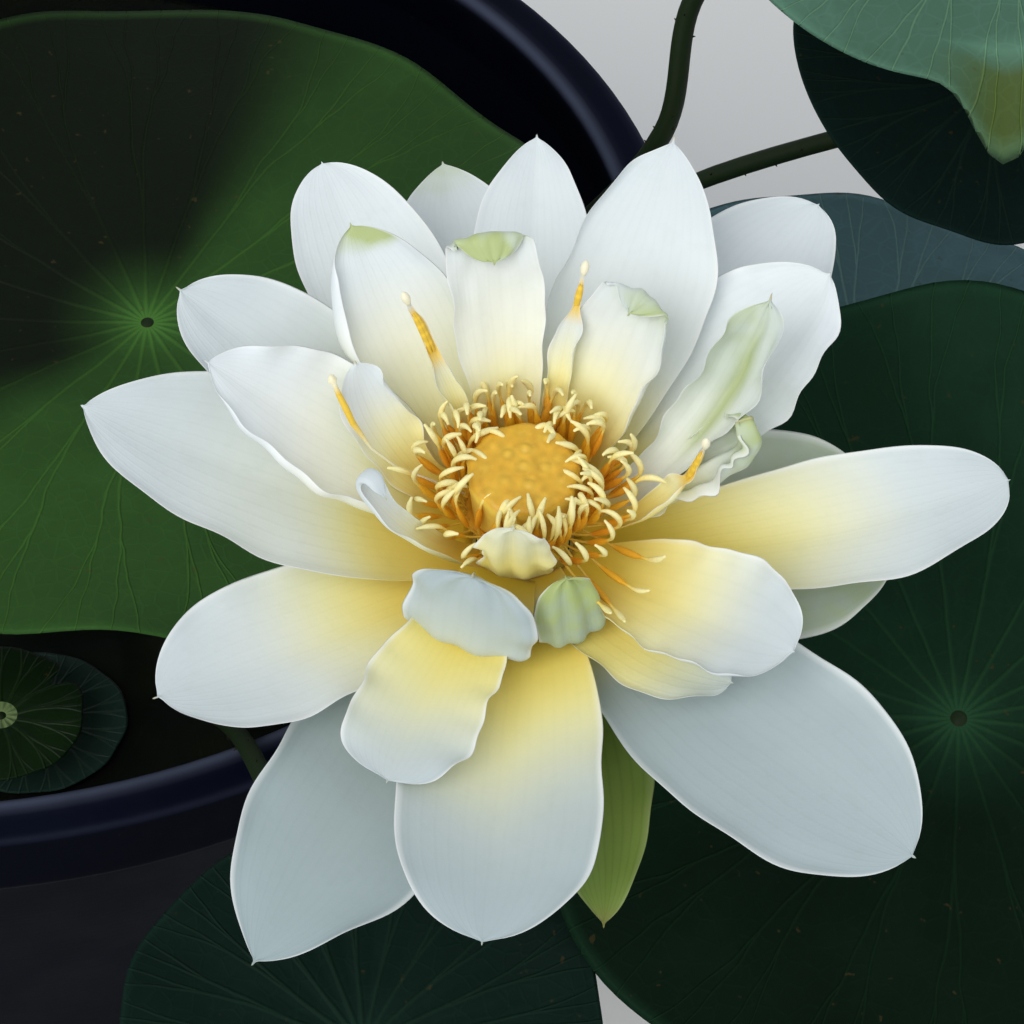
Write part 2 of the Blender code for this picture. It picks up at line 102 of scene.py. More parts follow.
PETALOIDS = (
    Petal("petaloid_01", 168, 30, 62, 35, 13, 0.62, 1.8, -52, 0, 5, 30),
    Petal("petaloid_02", 127, 57, 58, 39, 5, 0.60, 1.3, 7, 0, 4.6, 30),
    Petal("petaloid_03", 99, 50, 58, 47, 17, 0.70, 2.4, 0, 0, 4, 30),
    Petal("petaloid_04", 73, 52, 50, 38, 5.4, 0.55, 1.5, -3, 0, 4.8, 30),
    Petal("petaloid_05", 53, 46, 52, 40, 20, 0.56, 1.8, 2, 0, 4, 30),
    Petal("petaloid_06", 8, 28, 46, 54, 17, 0.72, 1.5, 60, 0, 3.4, 30),
    Petal("petaloid_07", 7, 26, 40, 41, 13, 0.76, 1.8, 12, 0, 2.8, 30),
    Petal("petaloid_08", 352, 20, 84, 36, 6, 0.60, 1.4, 20, 0, 4.6, 30),
    Petal("petaloid_09", 325, 20, 14, 47, 25.5, 0.70, 2.2, 2, 4, 2.4, 30),
    Petal("petaloid_10", 248, -6, 124, 36, 24, 0.72, 2.0, 0, 0, 3.5, 14),
    Petal("petaloid_11", 290, -6, 118, 32, 12, 0.72, 2.0, 0, 0, 3.2, 24),
    Petal("petaloid_12", 226, 45, 68, 36, 7, 0.60, 1.6, -95, 0, 4.4, 30),
    Petal("petaloid_13", 266, 60, 88, 25, 13, 0.70, 2.0, 0, 0, 4.6, 24),
    Petal("petaloid_14", 309, 8, 5, 44, 19, 0.60, 1.9, 30, 0, 2.0, 22),
)

SEPALS = (
    Petal("sepal_1", 290, -6, -3, 61, 22, 0.50, 1.2, -20, 0, -1, 30),
    Petal("sepal_2", 140, 2, 6, 52, 20, 0.50, 1.2, 0, 0, -1, 30),
)

# What the CAD blades leave out.  left, right: how far each margin rolls in, in degrees (left as seen
# from the heart; minus rolls back); start: where that roll begins across the blade; keel: fold along
# the midrib; ripple: height of the wavy margin in mm, waves: how many along the blade; crumple: height
# in mm of the creases and knots: how fine they are; pleats: height in mm of three lengthwise folds;
# bends, veers: extra climb and heading in degrees, each as (from, to, degrees) along the blade;
# stretch: extra length for a folded tip; mucro: length in mm of the pointed tip; cream, yellow: how
# far those tints reach; green, green_from, green_side: greenness of the tip and the margin it favours;
# grey: painted shade that dulls the whole blade, in part the outer blades' own duller tone,
# and below zero painted light that whitens it; anther: where a strap turns into an anther; rise:
# (base, tip) climb used in place of the CAD one, for a blade whose bend is too sharp for the CAD's
# even curve; claw: width of its base, as a share of its widest.
Shape = namedtuple(
    "Shape", "left right start keel ripple waves crumple knots pleats bends veers stretch mucro "
             "cream yellow green green_from green_side grey anther rise claw",
    defaults=(0, 0, 0.72, 5, 0.5, 2.2, 0.2, 30, 0, (), (), 1.0, 0.7,
              0.35, 0.46, 0.0, 0.8, 0, 0.0, 0, None, 0.28))

# From this many degrees on, a keel is also painted as a green groove.
DEEP_KEEL = 20

SHAPES = {
    "petal_01": Shape(claw=0.40, left=18, right=26, mucro=0.3, yellow=0.46, grey=0.1),
    "petal_02": Shape(claw=0.40, left=18, right=20, yellow=0.62, mucro=1.0, grey=0.35),
    "petal_03": Shape(left=12, right=24, grey=1.6, yellow=0.3, ripple=0.7, cream=0.1),
    "petal_04": Shape(claw=0.42, left=22, right=14, grey=1.3, yellow=0.66, ripple=0.4, cream=0.4),
    "petal_05": Shape(claw=0.40, left=16, right=20, grey=0.7, yellow=0.95, mucro=0.5, ripple=0.7,
                      waves=3),
    "petal_06": Shape(left=30, right=16, grey=1.3, yellow=0.3, keel=3, cream=0.0),
    "petal_07": Shape(left=26, right=20, keel=7, mucro=0.3, yellow=0.72, grey=0.45),
    "petal_08": Shape(grey=1.2, green=0.5, green_from=0.1, mucro=0.4, yellow=0.2),
    "petal_09": Shape(left=16, right=20, crumple=0.35, grey=-0.05, mucro=0.2, cream=0.1),
    "petal_10": Shape(left=12, right=16, ripple=0.9, waves=3.4, crumple=0.45, grey=-0.45, mucro=0.3,
                      cream=0.2),
    "petal_11": Shape(grey=-0.1, left=95, right=14, start=0.80, ripple=0.5, mucro=1.1, cream=0.2),
    "petal_12": Shape(grey=-0.2, left=16, right=16, keel=12, mucro=0.5, cream=0.15),
    "petal_13": Shape(green=0.45, green_from=0.84, grey=-0.2, keel=10, mucro=0.5, cream=0.6),
    "petal_14": Shape(left=16, right=20, mucro=0.2, grey=-0.3),
    "petal_15": Shape(left=125, right=-24, start=0.64, crumple=0.45, green=1.2, green_from=0.91,
                      green_side=-1, grey=-0.4, yellow=0.50, mucro=0.5, cream=1.0),
    "petal_16": Shape(left=18, right=20, grey=0.1, mucro=1.0, cream=0.5),
    "petal_17": Shape(left=110, right=16, start=0.66, ripple=0.8, waves=3, grey=-0.6, yellow=0.44,
                      mucro=0.6, cream=0.8),
    "petaloid_01": Shape(grey=-0.4, left=10, right=105, start=0.56, crumple=0.4, yellow=0.8, cream=1.0),
    "petaloid_02": Shape(left=60, right=60, start=0.3, crumple=0.2, yellow=0.8, cream=1.0,
                         anther=0.72),
    "petaloid_03": Shape(grey=-0.3, left=16, right=24, crumple=0.7, knots=70, ripple=0.4, waves=3,
                         bends=((0.85, 0.95, 165),), stretch=1.10, green=1.4, green_from=0.80,
                         yellow=0.52, cream=0.9, mucro=0.4, green_side=0.6),
    "petaloid_04": Shape(left=40, right=40, start=0.4, crumple=0.3, yellow=0.8, cream=1.0,
                         anther=0.84),
    "petaloid_05": Shape(left=20, right=70, start=0.66, crumple=0.7, knots=70, ripple=0.5, waves=3,
                         bends=((0.84, 0.95, 150),), stretch=1.12, green=0.6, green_from=0.70,
                         green_side=-1, grey=-0.1, yellow=0.66, cream=0.9, mucro=0.4),
    "petaloid_06": Shape(claw=0.12, left=60, right=30, start=0.40, keel=28, crumple=0.8, knots=70,
                         grey=0.3, green=0.4, green_from=0.44, green_side=0.8, yellow=0.3, cream=0.5,
                         stretch=0.99, ripple=0.8, waves=3, mucro=1.4),
    "petaloid_07": Shape(left=22, right=30, start=0.3, crumple=1.3, knots=90, pleats=1.2,
                         green=0.8, green_from=0.62, yellow=0.7, ripple=1.2, waves=3.4, cream=0.8,
                         bends=((0.72, 1.0, 60),)),
    "petaloid_08": Shape(left=60, right=60, start=0.3, crumple=0.5, yellow=0.9, cream=1.0,
                         anther=0.72),
    "petaloid_09": Shape(claw=0.26, left=36, right=60, start=0.80, ripple=0.5, waves=3.2, crumple=0.45,
                         yellow=0.84, cream=0.2, mucro=0.3, grey=0.35),
    "petaloid_10": Shape(claw=0.50, left=30, right=20, crumple=0.9, knots=50, pleats=0.35,
                         rise=(0, 0), bends=((0.36, 0.62, 108),), ripple=0.8, waves=2.4,
                         grey=1.25, yellow=0.5, cream=0.3, mucro=0.8),
    "petaloid_11": Shape(claw=0.60, left=40, right=40, crumple=0.9, knots=60, pleats=0.4,
                         rise=(2, 2), bends=((0.36, 0.62, 105),), green=1.0, green_from=0.25,
                         grey=1.5, yellow=0.3, cream=0.0, mucro=0.3),
    "petaloid_12": Shape(claw=0.90, left=70, right=60, start=0.4, crumple=0.4, yellow=0.7, cream=0.4,
                         bends=((0.78, 1.0, 170),), stretch=1.3),
    "petaloid_13": Shape(claw=0.90, left=30, right=40, crumple=1.0, knots=80, pleats=0.5, ripple=0.7,
                         waves=3, rise=(44, 96), stretch=1.44, grey=-0.5, yellow=1.35, cream=1.0,
                         mucro=0.3),
    "petaloid_14": Shape(claw=0.75, left=20, right=30, crumple=0.4, stretch=0.88,
                         veers=((0.0, 0.25, -8), (0.3, 0.9, 10)), grey=0.4, yellow=1.0, cream=0.4,
                         mucro=0.3),
    "sepal_1": Shape(left=10, right=10, yellow=0.0),
    "sepal_2": Shape(left=10, right=10, yellow=0.0),
}

# centre, root and via in mm; lean: tilt of the blade towards facing; dish: how far the middle sits
# below the margin; waves: of its margin; stalk: its radius in mm.
Leaf = namedtuple("Leaf", "name centre radius lean facing dish waves root via stalk")

LEAVES = (
    Leaf("leaf_left", (43, -35.5, 174), 88.5, 6, 270, 0.07, 3, (14, 6), (24, -10, 146), 2.2),
    Leaf("leaf_right", (199.5, -153.5, 187), 83, 20, 272, 0.12, 4, (92, -56), (130, -100, 166), 2.4),
    Leaf("leaf_front", (92, -213.5, 169), 43, 14, 285, 0.12, 3, (54, -92), (70, -143, 160), 1.9),
    Leaf("leaf_tall", (216.5, 18, 263), 68, 20, 260, 0.16, 3, (116, 30),
         (150, 22, 175, 158, 32, 208), 2.2),
    Leaf("leaf_rear_low", (191, -55, 163), 64.3, 6, 0, 0.10, 3, (112, -30), (140, -37, 156), 1.9),
    Leaf("leaf_rear_high", (214, -16, 223), 42, 16, 300, 0.12, 3, (113, 6), (146, 2, 172), 1.9),
    Leaf("leaf_back", (-62, 62, 214), 60, 18, 130, 0.14, 3, (-30, 34), (-42, 44, 166), 2.2),
    Leaf("leaf_side", (-112, -44, 186), 54, 20, 200, 0.13, 4, (-58, -20), (-82, -30, 154), 2.0),
)

PADS = (
    Leaf("pad_large", (15.5, -107, 134), 17, 4, 300, 0.03, 2, (-13, -96), (-8, -100, 128), 1.2),
    Leaf("pad_small", (20.5, -98, 120.9), 19, 0, 0, 0.0, 2, (20.5, -98), (20.5, -98, 120.5), 1.1),
)

# Colour of each leaf's upper side, set darker or lighter from leaf to leaf to carry the shade each
# one lies in, so part of the difference between them is painted shade.  All colours in this script
# are linear values.
LEAF_COLOURS = {
    "leaf_left": (0.019, 0.060, 0.011),
    "leaf_right": (0.0060, 0.024, 0.011),
    "leaf_front": (0.0035, 0.013, 0.009),
    "leaf_tall": (0.050, 0.118, 0.078),
    "leaf_rear_low": (0.044, 0.094, 0.104),
    "leaf_rear_high": (0.003, 0.010, 0.008),
    "leaf_back": (0.020, 0.056, 0.017),
    "leaf_side": (0.022, 0.060, 0.016),
    "pad_large": (0.004, 0.014, 0.003),
    "pad_small": (0.020, 0.052, 0.040),
}

# How glossy the wax of a leaf is, where it differs from the others.
LEAF_SHINE = {"leaf_right": 0.06, "leaf_front": 0.08, "leaf_rear_high": 0.05, "leaf_tall": 0.25}
# Painted shade: a sector of a blade painted darker than the rest, as if it lay in shade: from and
# to, in degrees, and how much.
LEAF_PAINTED_SHADE = {"leaf_left": (66, 222, 0.92), "leaf_right": (205, 345, 0.65)}
# A fold of the margin that hangs down: where it is and its half width, in degrees, and its depth as a
# share of the radius.
LEAF_FLAP = {"leaf_tall": (266, 6.5, 0.19)}

# Petals, petaloids, anthers and sepals.
WHITE = np.array((0.77, 0.83, 0.86))
GREY = np.array((0.40, 0.48, 0.50))
YELLOW = np.array((0.82, 0.61, 0.060))
CREAM = np.array((0.87, 0.87, 0.68))
PALE_YELLOW = np.array((0.88, 0.82, 0.32))
FRESH_GREEN = np.array((0.41, 0.50, 0.14))
# Painted highlight: the whiter margins of the blades, where thin edges catch the light.
PETAL_RIM_HIGHLIGHT = np.array((0.90, 0.92, 0.92))
DRY_POINT = np.array((0.55, 0.50, 0.24))
POLLEN = np.array((0.88, 0.60, 0.07))
POLLEN_SAC = np.array((0.88, 0.58, 0.055))
ANTHER_KNOB = np.array((0.92, 0.88, 0.66))
SEPAL_DARK = np.array((0.12, 0.21, 0.030))
SEPAL_LIGHT = np.array((0.22, 0.30, 0.055))
SEPAL_RIM = np.array((0.30, 0.36, 0.14))
SEPAL_POINT = np.array((0.22, 0.14, 0.05))

# Receptacle, its hem and the stamens.
FLESH_GOLD = np.array((0.72, 0.41, 0.035))
SIDE_GOLD = np.array((0.86, 0.62, 0.10))
HEM_GOLD = np.array((0.88, 0.78, 0.40))
FILAMENT = np.array((0.84, 0.60, 0.10))
ANTHER_ORANGE = np.array((0.86, 0.48, 0.025))
ANTHER_RUST = np.array((0.70, 0.25, 0.012))
CLUB_CREAM = np.array((0.95, 0.87, 0.42))
CLUB_BUTTER = np.array((0.90, 0.68, 0.13))
COLLAR_ORANGE = np.array((0.70, 0.36, 0.02))

# Leaves, stalks, bowl, mud and water.
LEAF_UNDERSIDE = np.array((0.12, 0.19, 0.08))
FLAP_OLIVE = np.array((0.052, 0.085, 0.012))
STALK_GREEN = np.array((0.009, 0.020, 0.005))
PRICKLE_BROWN = np.array((0.016, 0.012, 0.004))
BOWL_NAVY = np.array((0.0012, 0.0017, 0.0048))
# Painted highlight: colour of the thin light lines painted along the bowl's rim.
BOWL_PAINTED_HIGHLIGHT = np.array((0.075, 0.088, 0.140))
MUD = (0.014, 0.010, 0.008)
POND = (0.018, 0.024, 0.020)


# ---------------------------------------------------------------- helpers
def smooth(low, high, value):
    """0 below low, 1 above high, and a smooth step between; low may be the larger of the two."""
    share = np.clip((np.asarray(value, float) - low) / (high - low), 0.0, 1.0)
    return share * share * (3 - 2 * share)


def mix(first, second, share):
    share = np.asarray(share, float)[..., None]
    return first * (1 - share) + second * share


def noise_at(points, scale, seed=0.0):
    """Smooth noise from about -1 to 1 at each point of an array of points."""
    flat = np.asarray(points, float).reshape(-1, 3) * scale
    shift = Vector((seed * 3.17, seed * 1.31, seed * 2.23))
    values = [noise.noise(Vector(point) + shift) for point in flat]
    return np.array(values).reshape(np.shape(points)[:-1])


def around(radius, turn, height):
    """The point at a radius and a turn round the Z axis."""
    return radius * math.cos(turn), radius * math.sin(turn), height


def band(first, second, sides):
    """Quads between two rings of points, given the number of each ring's first point."""
    return [(first + k, second + k, second + (k + 1) % sides, first + (k + 1) % sides)
            for k in range(sides)]


def angle_from(mark, angle, full=2 * np.pi):
    """How far an angle lies past a mark, from minus half to half of a full turn."""
    return (angle - mark + full / 2) % full - full / 2


def flower_place():
    """Places the flower, which is made upright about its hub."""
    return Matrix.Translation(HUB) @ Matrix.Rotation(FLOWER_TILT, 4, "X")


def transformed(points, place):
    table = np.array(place)
    return np.asarray(points) @ table[:3, :3].T + table[:3, 3]


class Builder:
    """Collects closed parts into one smooth mesh with a painted colour at each point."""

    def __init__(self):
        self.points = []
        self.faces = []
        self.paint = []
        self.uvs = []

    def add(self, points, faces, paint, corners=None):
        base = len(self.points)
        self.points.extend([tuple(p) for p in points])
        self.paint.extend([tuple(c) for c in paint])
        for number, face in enumerate(faces):
            self.faces.append([base + i for i in face])
            self.uvs.extend(corners[number] if corners else [(0.5, 0.0)] * len(face))

    def tube(self, path, radii, paint, sides=8, flat=1.0, spin=0.0):
        """A closed tube along a path, with a radius and a colour at each point of it."""
        path = [Vector(p) for p in path]
        count = len(path)
        ahead = [(path[min(i + 1, count - 1)] - path[max(i - 1, 0)]).normalized()
                 for i in range(count)]
        side = ahead[0].orthogonal().normalized()
        side = Matrix.Rotation(spin, 3, ahead[0]) @ side
        points, faces, colours = [], [], []
        for i in range(count):
            side = (side - ahead[i] * side.dot(ahead[i])).normalized()
            up = ahead[i].cross(side)
            for k in range(sides):
                turn = 2 * math.pi * k / sides
                points.append(path[i] + side * (radii[i] * math.cos(turn))
                              + up * (radii[i] * flat * math.sin(turn)))
                colours.append(paint[i])
        for i in range(count - 1):
            for k in range(sides):
                n = (k + 1) % sides
                faces.append((i * sides + k, i * sides + n, (i + 1) * sides + n, (i + 1) * sides + k))
        points.append(path[0] - ahead[0] * radii[0] * 0.5)
        points.append(path[-1] + ahead[-1] * radii[-1] * 0.5)
        colours += [paint[0], paint[-1]]
        for k in range(sides):
            n = (k + 1) % sides
            faces.append((count * sides, n, k))
            faces.append((count * sides + 1, (count - 1) * sides + k, (count - 1) * sides + n))
        self.add(points, faces, colours)

    def piece(self, name, made, place=None):
        """The finished object; it rides on the root body and replaces the CAD node of its name."""
        points = transformed(self.points, place) if place else np.asarray(self.points)
        mesh = bpy.data.meshes.new(name)
        mesh.from_pydata(points.tolist(), [], self.faces)
        mesh.update()
        layer = mesh.attributes.new("paint", "FLOAT_COLOR", "POINT")
        colours = np.ones((len(points), 4), np.float32)
        colours[:, :3] = np.clip(self.paint, 0, 1)
        layer.data.foreach_set("color", colours.ravel())
        layer = mesh.uv_layers.new(name="UVMap")
        layer.data.foreach_set("uv", np.asarray(self.uvs, np.float32).ravel())
        mesh.polygons.foreach_set("use_smooth", [True] * len(mesh.polygons))
        mesh.materials.append(made)
        item = bpy.data.objects.new(name, mesh)
        bpy.context.scene.collection.objects.link(item)
        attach(item, "root")
        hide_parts(name)
        return item


# ---------------------------------------------------------------- material nodes
class Nodes:
    """A short way to write a node material."""

    def __init__(self, name):
        self.made = bpy.data.materials.new(name)
        self.made.use_nodes = True
        self.tree = self.made.node_tree
        self.shader = self.tree.nodes["Principled BSDF"]

    def socket(self, value, target):
        """Link an output, or set a plain value; a colour may come without its alpha."""
        if isinstance(value, bpy.types.NodeSocket):
            self.tree.links.new(value, target)
        elif target.type == "RGBA" and len(value) == 3:
            target.default_value = (*value, 1.0)
        else:
            target.default_value = value

    def node(self, kind, inputs=None, **values):
        """A new node; inputs holds a value or an output for some of its sockets."""
        made = self.tree.nodes.new(kind)
        for key, value in values.items():
            setattr(made, key, value)
        for key, value in (inputs or {}).items():
            self.socket(value, made.inputs[key])
        return made

    def math(self, operation, *values):
        inputs = dict(enumerate(values))
        return self.node("ShaderNodeMath", inputs, operation=operation).outputs[0]

    def times(self, first, second):
        return self.math("MULTIPLY", first, second)

    def line(self, value, slope, start):
        return self.math("MULTIPLY_ADD", value, slope, start)

    def ramp(self, low, high, value):
        inputs = {"Value": value, "From Min": low, "From Max": high}
        return self.node("ShaderNodeMapRange", inputs,
                         interpolation_type="SMOOTHSTEP").outputs["Result"]

    def mix(self, share, first, second, blend="MIX"):
        inputs = {0: share, 6: first, 7: second}
        return self.node("ShaderNodeMix", inputs, data_type="RGBA", blend_type=blend).outputs[2]

    def stain(self, colour, where, share, tint, blend="MIX"):
        """A colour turned towards a tint where asked, and at most by the share."""
        return self.mix(self.times(where, share), colour, tint, blend)

    def place(self, stretch=None):
        """Object coordinates, times three factors if asked."""
        place = self.node("ShaderNodeTexCoord").outputs["Object"]
        if stretch:
            place = self.node("ShaderNodeMapping", {"Vector": place, "Scale": stretch}).outputs[0]
        return place

    def uv(self):
        """The two coordinates of the UV map."""
        inputs = {0: self.node("ShaderNodeTexCoord").outputs["UV"]}
        return self.node("ShaderNodeSeparateXYZ", inputs).outputs[:2]

    def noise(self, scale, detail=3.0, rough=0.5, stretch=None):
        inputs = {"Scale": scale, "Detail": detail, "Roughness": rough,
                  "Vector": self.place(stretch)}
        return self.node("ShaderNodeTexNoise", inputs).outputs["Fac"]

    def paint(self):
        return self.node("ShaderNodeAttribute", attribute_name="paint").outputs["Color"]

    def bumps(self, *layers):
        """The normal after some layers of bump, each (height, distance in metres, strength)."""
        normal = None
        for height, distance, strength in layers:
            inputs = {"Height": height, "Distance": distance, "Strength": strength}
            if normal:
                inputs["Normal"] = normal
            normal = self.node("ShaderNodeBump", inputs).outputs["Normal"]
        return normal

    def finish(self, colour, roughness, normal=None, **values):
        """The material; values are named after sockets, with _ for a space."""
        values.update(Base_Color=colour, Roughness=roughness)
        if normal:
            values["Normal"] = normal
        for key, value in values.items():
            self.socket(value, self.shader.inputs[key.replace("_", " ")])
        return self.made


def petal_material(name, veins, vein_depth):
    """Silky petal: lengthwise veins across the UV, a faint mottle and a fine grain."""
    n = Nodes(name)
    across, along = n.uv()
    lane = n.line(across, veins * 2 * math.pi, n.times(n.noise(90, 2.0), 2.4))
    wave = n.line(n.math("SINE", lane), 0.5, 0.5)
    vein = n.times(n.math("POWER", wave, 5.0), n.ramp(0.02, 0.35, along))
    mottle = n.noise(260, 4.0, 0.6)
    grain = n.noise(2600, 2.0, 0.6)
    colour = n.stain(n.paint(), vein, vein_depth, (0.62, 0.70, 0.62), "MULTIPLY")
    colour = n.stain(colour, n.ramp(0.5, 0.75, mottle), 0.10, (0.72, 0.76, 0.70), "MULTIPLY")
    normal = n.bumps((vein, 0.00005, 0.3), (mottle, 0.00025, 0.3), (grain, 0.00003, 0.3))
    return n.finish(colour, n.line(mottle, 0.15, 0.43), normal,
                    Sheen_Weight=0.12, Sheen_Roughness=0.4, IOR=1.4)


def leaf_material(spec, veins, bloom, roughness, shine):
    """Round leaf: forking veins that run out from the stalk, fine netting and a pale waxy bloom.

    The UV is (turn as a share of the circle, distance out as a share of the radius).
    """
    n = Nodes(spec.name + " skin")
    turn, out = n.uv()
    lane = n.line(turn, veins, n.line(n.noise(26, 3.0), 0.5, -0.25))
    lane = n.math("ABSOLUTE", n.math("SUBTRACT", n.math("FRACT", lane), 0.5))
    for start, spread in ((0.34, 0.40), (0.68, 0.36)):
        fork = n.times(n.math("MAXIMUM", n.math("SUBTRACT", out, start), 0.0), spread)
        lane = n.math("ABSOLUTE", n.math("SUBTRACT", lane, fork))
    width = n.times(lane, n.times(out, 2 * math.pi * spec.radius / veins))
    thick = n.line(out, -0.55, 0.85)
    vein = n.math("SUBTRACT", 1.0, n.ramp(0.10, 0.95, n.math("DIVIDE", width, thick)))
    cells = n.node("ShaderNodeTexVoronoi", {"Vector": n.place(), "Scale": 240},
                   feature="DISTANCE_TO_EDGE")
    net = n.math("SUBTRACT", 1.0, n.ramp(0.0, 0.09, cells.outputs["Distance"]))
    patch = n.noise(34, 5.0, 0.6)
    speck = n.noise(420, 2.0, 0.6)
    fine = n.noise(1500, 3.0, 0.6)
    paint = n.paint()
    pale = n.mix(1.0, paint, (1.9, 1.8, 2.0), "MULTIPLY")
    bright = n.mix(1.0, paint, (2.8, 2.4, 2.0), "MULTIPLY")
    colour = n.stain(paint, n.ramp(0.42, 0.75, patch), bloom, pale)
    colour = n.stain(colour, net, 0.12, pale)
    colour = n.stain(colour, vein, 0.36, bright)
    colour = n.stain(colour, n.ramp(0.69, 0.76, speck), 0.4, (0.06, 0.04, 0.012))
    normal = n.bumps((vein, 0.00035, 0.7), (net, 0.00010, 0.35), (fine, 0.00006, 0.4))
    return n.finish(colour, n.line(patch, 0.22, roughness), normal,
                    Specular_IOR_Level=shine, IOR=1.42)


def stalk_material():
    n = Nodes("stalk skin")
    streak = n.noise(1400, 3.0, 0.6, (1.0, 1.0, 0.12))
    patch = n.noise(120, 3.0, 0.6)
    colour = n.stain(n.paint(), streak, 0.55, (0.006, 0.013, 0.004))
    colour = n.stain(colour, n.ramp(0.55, 0.8, patch), 0.5, (0.014, 0.017, 0.006))
    return n.finish(colour, n.line(patch, 0.3, 0.45), n.bumps((streak, 0.00015, 0.5)),
                    Specular_IOR_Level=0.2, IOR=1.42)


def grain_material(name, roughness, depth, scale):
    """Painted colour with a fine grain, for the receptacle and the stamens."""
    n = Nodes(name)
    patch = n.noise(scale, 3.0, 0.6)
    fine = n.noise(scale * 6, 2.0, 0.6)
    colour = n.stain(n.paint(), n.ramp(0.45, 0.8, patch), 0.30, (0.72, 0.52, 0.30), "MULTIPLY")
    return n.finish(colour, n.line(patch, 0.2, roughness),
                    n.bumps((patch, depth, 0.5), (fine, depth * 0.3, 0.5)), IOR=1.42)


def plastic_material():
    """Dark moulded plastic: fine turned scratches, dust on the flats, and edges lightened by wear and
    by a painted highlight.
    """
    n = Nodes("bowl plastic")
    turned = n.noise(900, 3.0, 0.7, (0.05, 0.05, 1.0))
    dust = n.noise(45, 6.0, 0.65)
    speck = n.noise(700, 2.0, 0.6)
    edge = n.ramp(0.58, 0.66, n.node("ShaderNodeNewGeometry").outputs["Pointiness"])
    colour = n.stain(n.paint(), turned, 0.35, (0.0022, 0.0030, 0.0080))
    colour = n.stain(colour, n.ramp(0.52, 0.72, dust), 0.02, (0.060, 0.060, 0.062))
    colour = n.stain(colour, n.ramp(0.70, 0.75, speck), 0.06, (0.05, 0.05, 0.055))
    # Edges painted lighter and bluer: wear, and a painted highlight.
    colour = n.stain(colour, edge, 0.25, (0.045, 0.048, 0.075))
    return n.finish(colour, n.line(dust, 0.30, 0.34),
                    n.bumps((turned, 0.00008, 0.35), (speck, 0.00005, 0.3)),
                    Specular_IOR_Level=0.02, IOR=1.5)


def mud_material():
    n = Nodes("mud")
    clod = n.noise(70, 6.0, 0.65)
    grit = n.noise(600, 4.0, 0.7)
    colour = n.mix(n.ramp(0.35, 0.7, clod), n.paint(), (0.026, 0.019, 0.013))
    colour = n.stain(colour, n.ramp(0.58, 0.7, grit), 0.5, (0.05, 0.04, 0.03))
    return n.finish(colour, n.line(grit, 0.3, 0.6),
                    n.bumps((clod, 0.0020, 0.7), (grit, 0.0005, 0.6)))


def water_material():
    n = Nodes("pond water")
    swirl = n.noise(18, 3.0, 0.5)
    film = n.noise(60, 5.0, 0.7)
    colour = n.mix(n.ramp(0.4, 0.7, film), n.paint(), (0.030, 0.034, 0.022))
    return n.finish(colour, n.line(n.ramp(0.45, 0.8, film), 0.10, 0.03),
                    n.bumps((swirl, 0.0015, 0.25)), IOR=1.33, Transmission_Weight=0.6)


# ---------------------------------------------------------------- petals
# Rows and columns of each blade's mesh.
PETAL_GRID = (60, 30)
PETALOID_GRID = (56, 28)
SEPAL_GRID = (48, 20)


def hub_radius(height):
    """Radius of the receptacle's side at a height above the hub."""
    return HUB_RADIUS + HUB_FLARE * max(height, 0.0)


def outline(along, spec, claw):
    """Half width of a petal as a share of its widest."""
    rising = claw + (1 - claw) * np.sin(np.pi / 2 * np.clip(along / spec.widest, 0, 1))
    past = np.clip((along - spec.widest) / (1 - spec.widest), 0.0, 1.0)
    falling = np.maximum(1 - past ** 2.2, 0.0) ** (1 / spec.blunt)
    return np.where(along < spec.widest, rising, falling)


def blade_angles(spec, shape, along):
    """Heading and rise of the midrib, in radians, at each share of the length."""
    heading = spec.turn + spec.sweep * along
    first, last = shape.rise or (spec.rise_base, spec.rise_tip)
    rise = first + (last - first) * along
    for low, high, degrees in shape.veers:
        heading = heading + degrees * smooth(low, high, along)
    for low, high, degrees in shape.bends:
        rise = rise + degrees * smooth(low, high, along)
    return np.radians(heading), np.radians(rise)


def direction(heading, rise):
    return np.stack((np.cos(heading) * np.cos(rise), np.sin(heading) * np.cos(rise),
                     np.sin(rise)), 1)


def midrib(spec, shape, along):
    """Place of the midrib at each share of the length."""
    fine = np.linspace(0.0, 1.1, 600)
    ahead = direction(*blade_angles(spec, shape, fine))
    step = np.diff(fine)[:, None] * spec.length * shape.stretch * MM
    run = np.concatenate((np.zeros((1, 3)), np.cumsum((ahead[1:] + ahead[:-1]) / 2 * step, 0)))
    height = spec.whorl * WHORL_STEP
    start = hub_radius(height) + PETAL_THICKNESS / 2 + 2 * GAP
    turn = math.radians(spec.turn)
    base = np.array(around(start, turn, height))
    return base + np.stack([np.interp(along, fine, run[:, k]) for k in range(3)], 1)


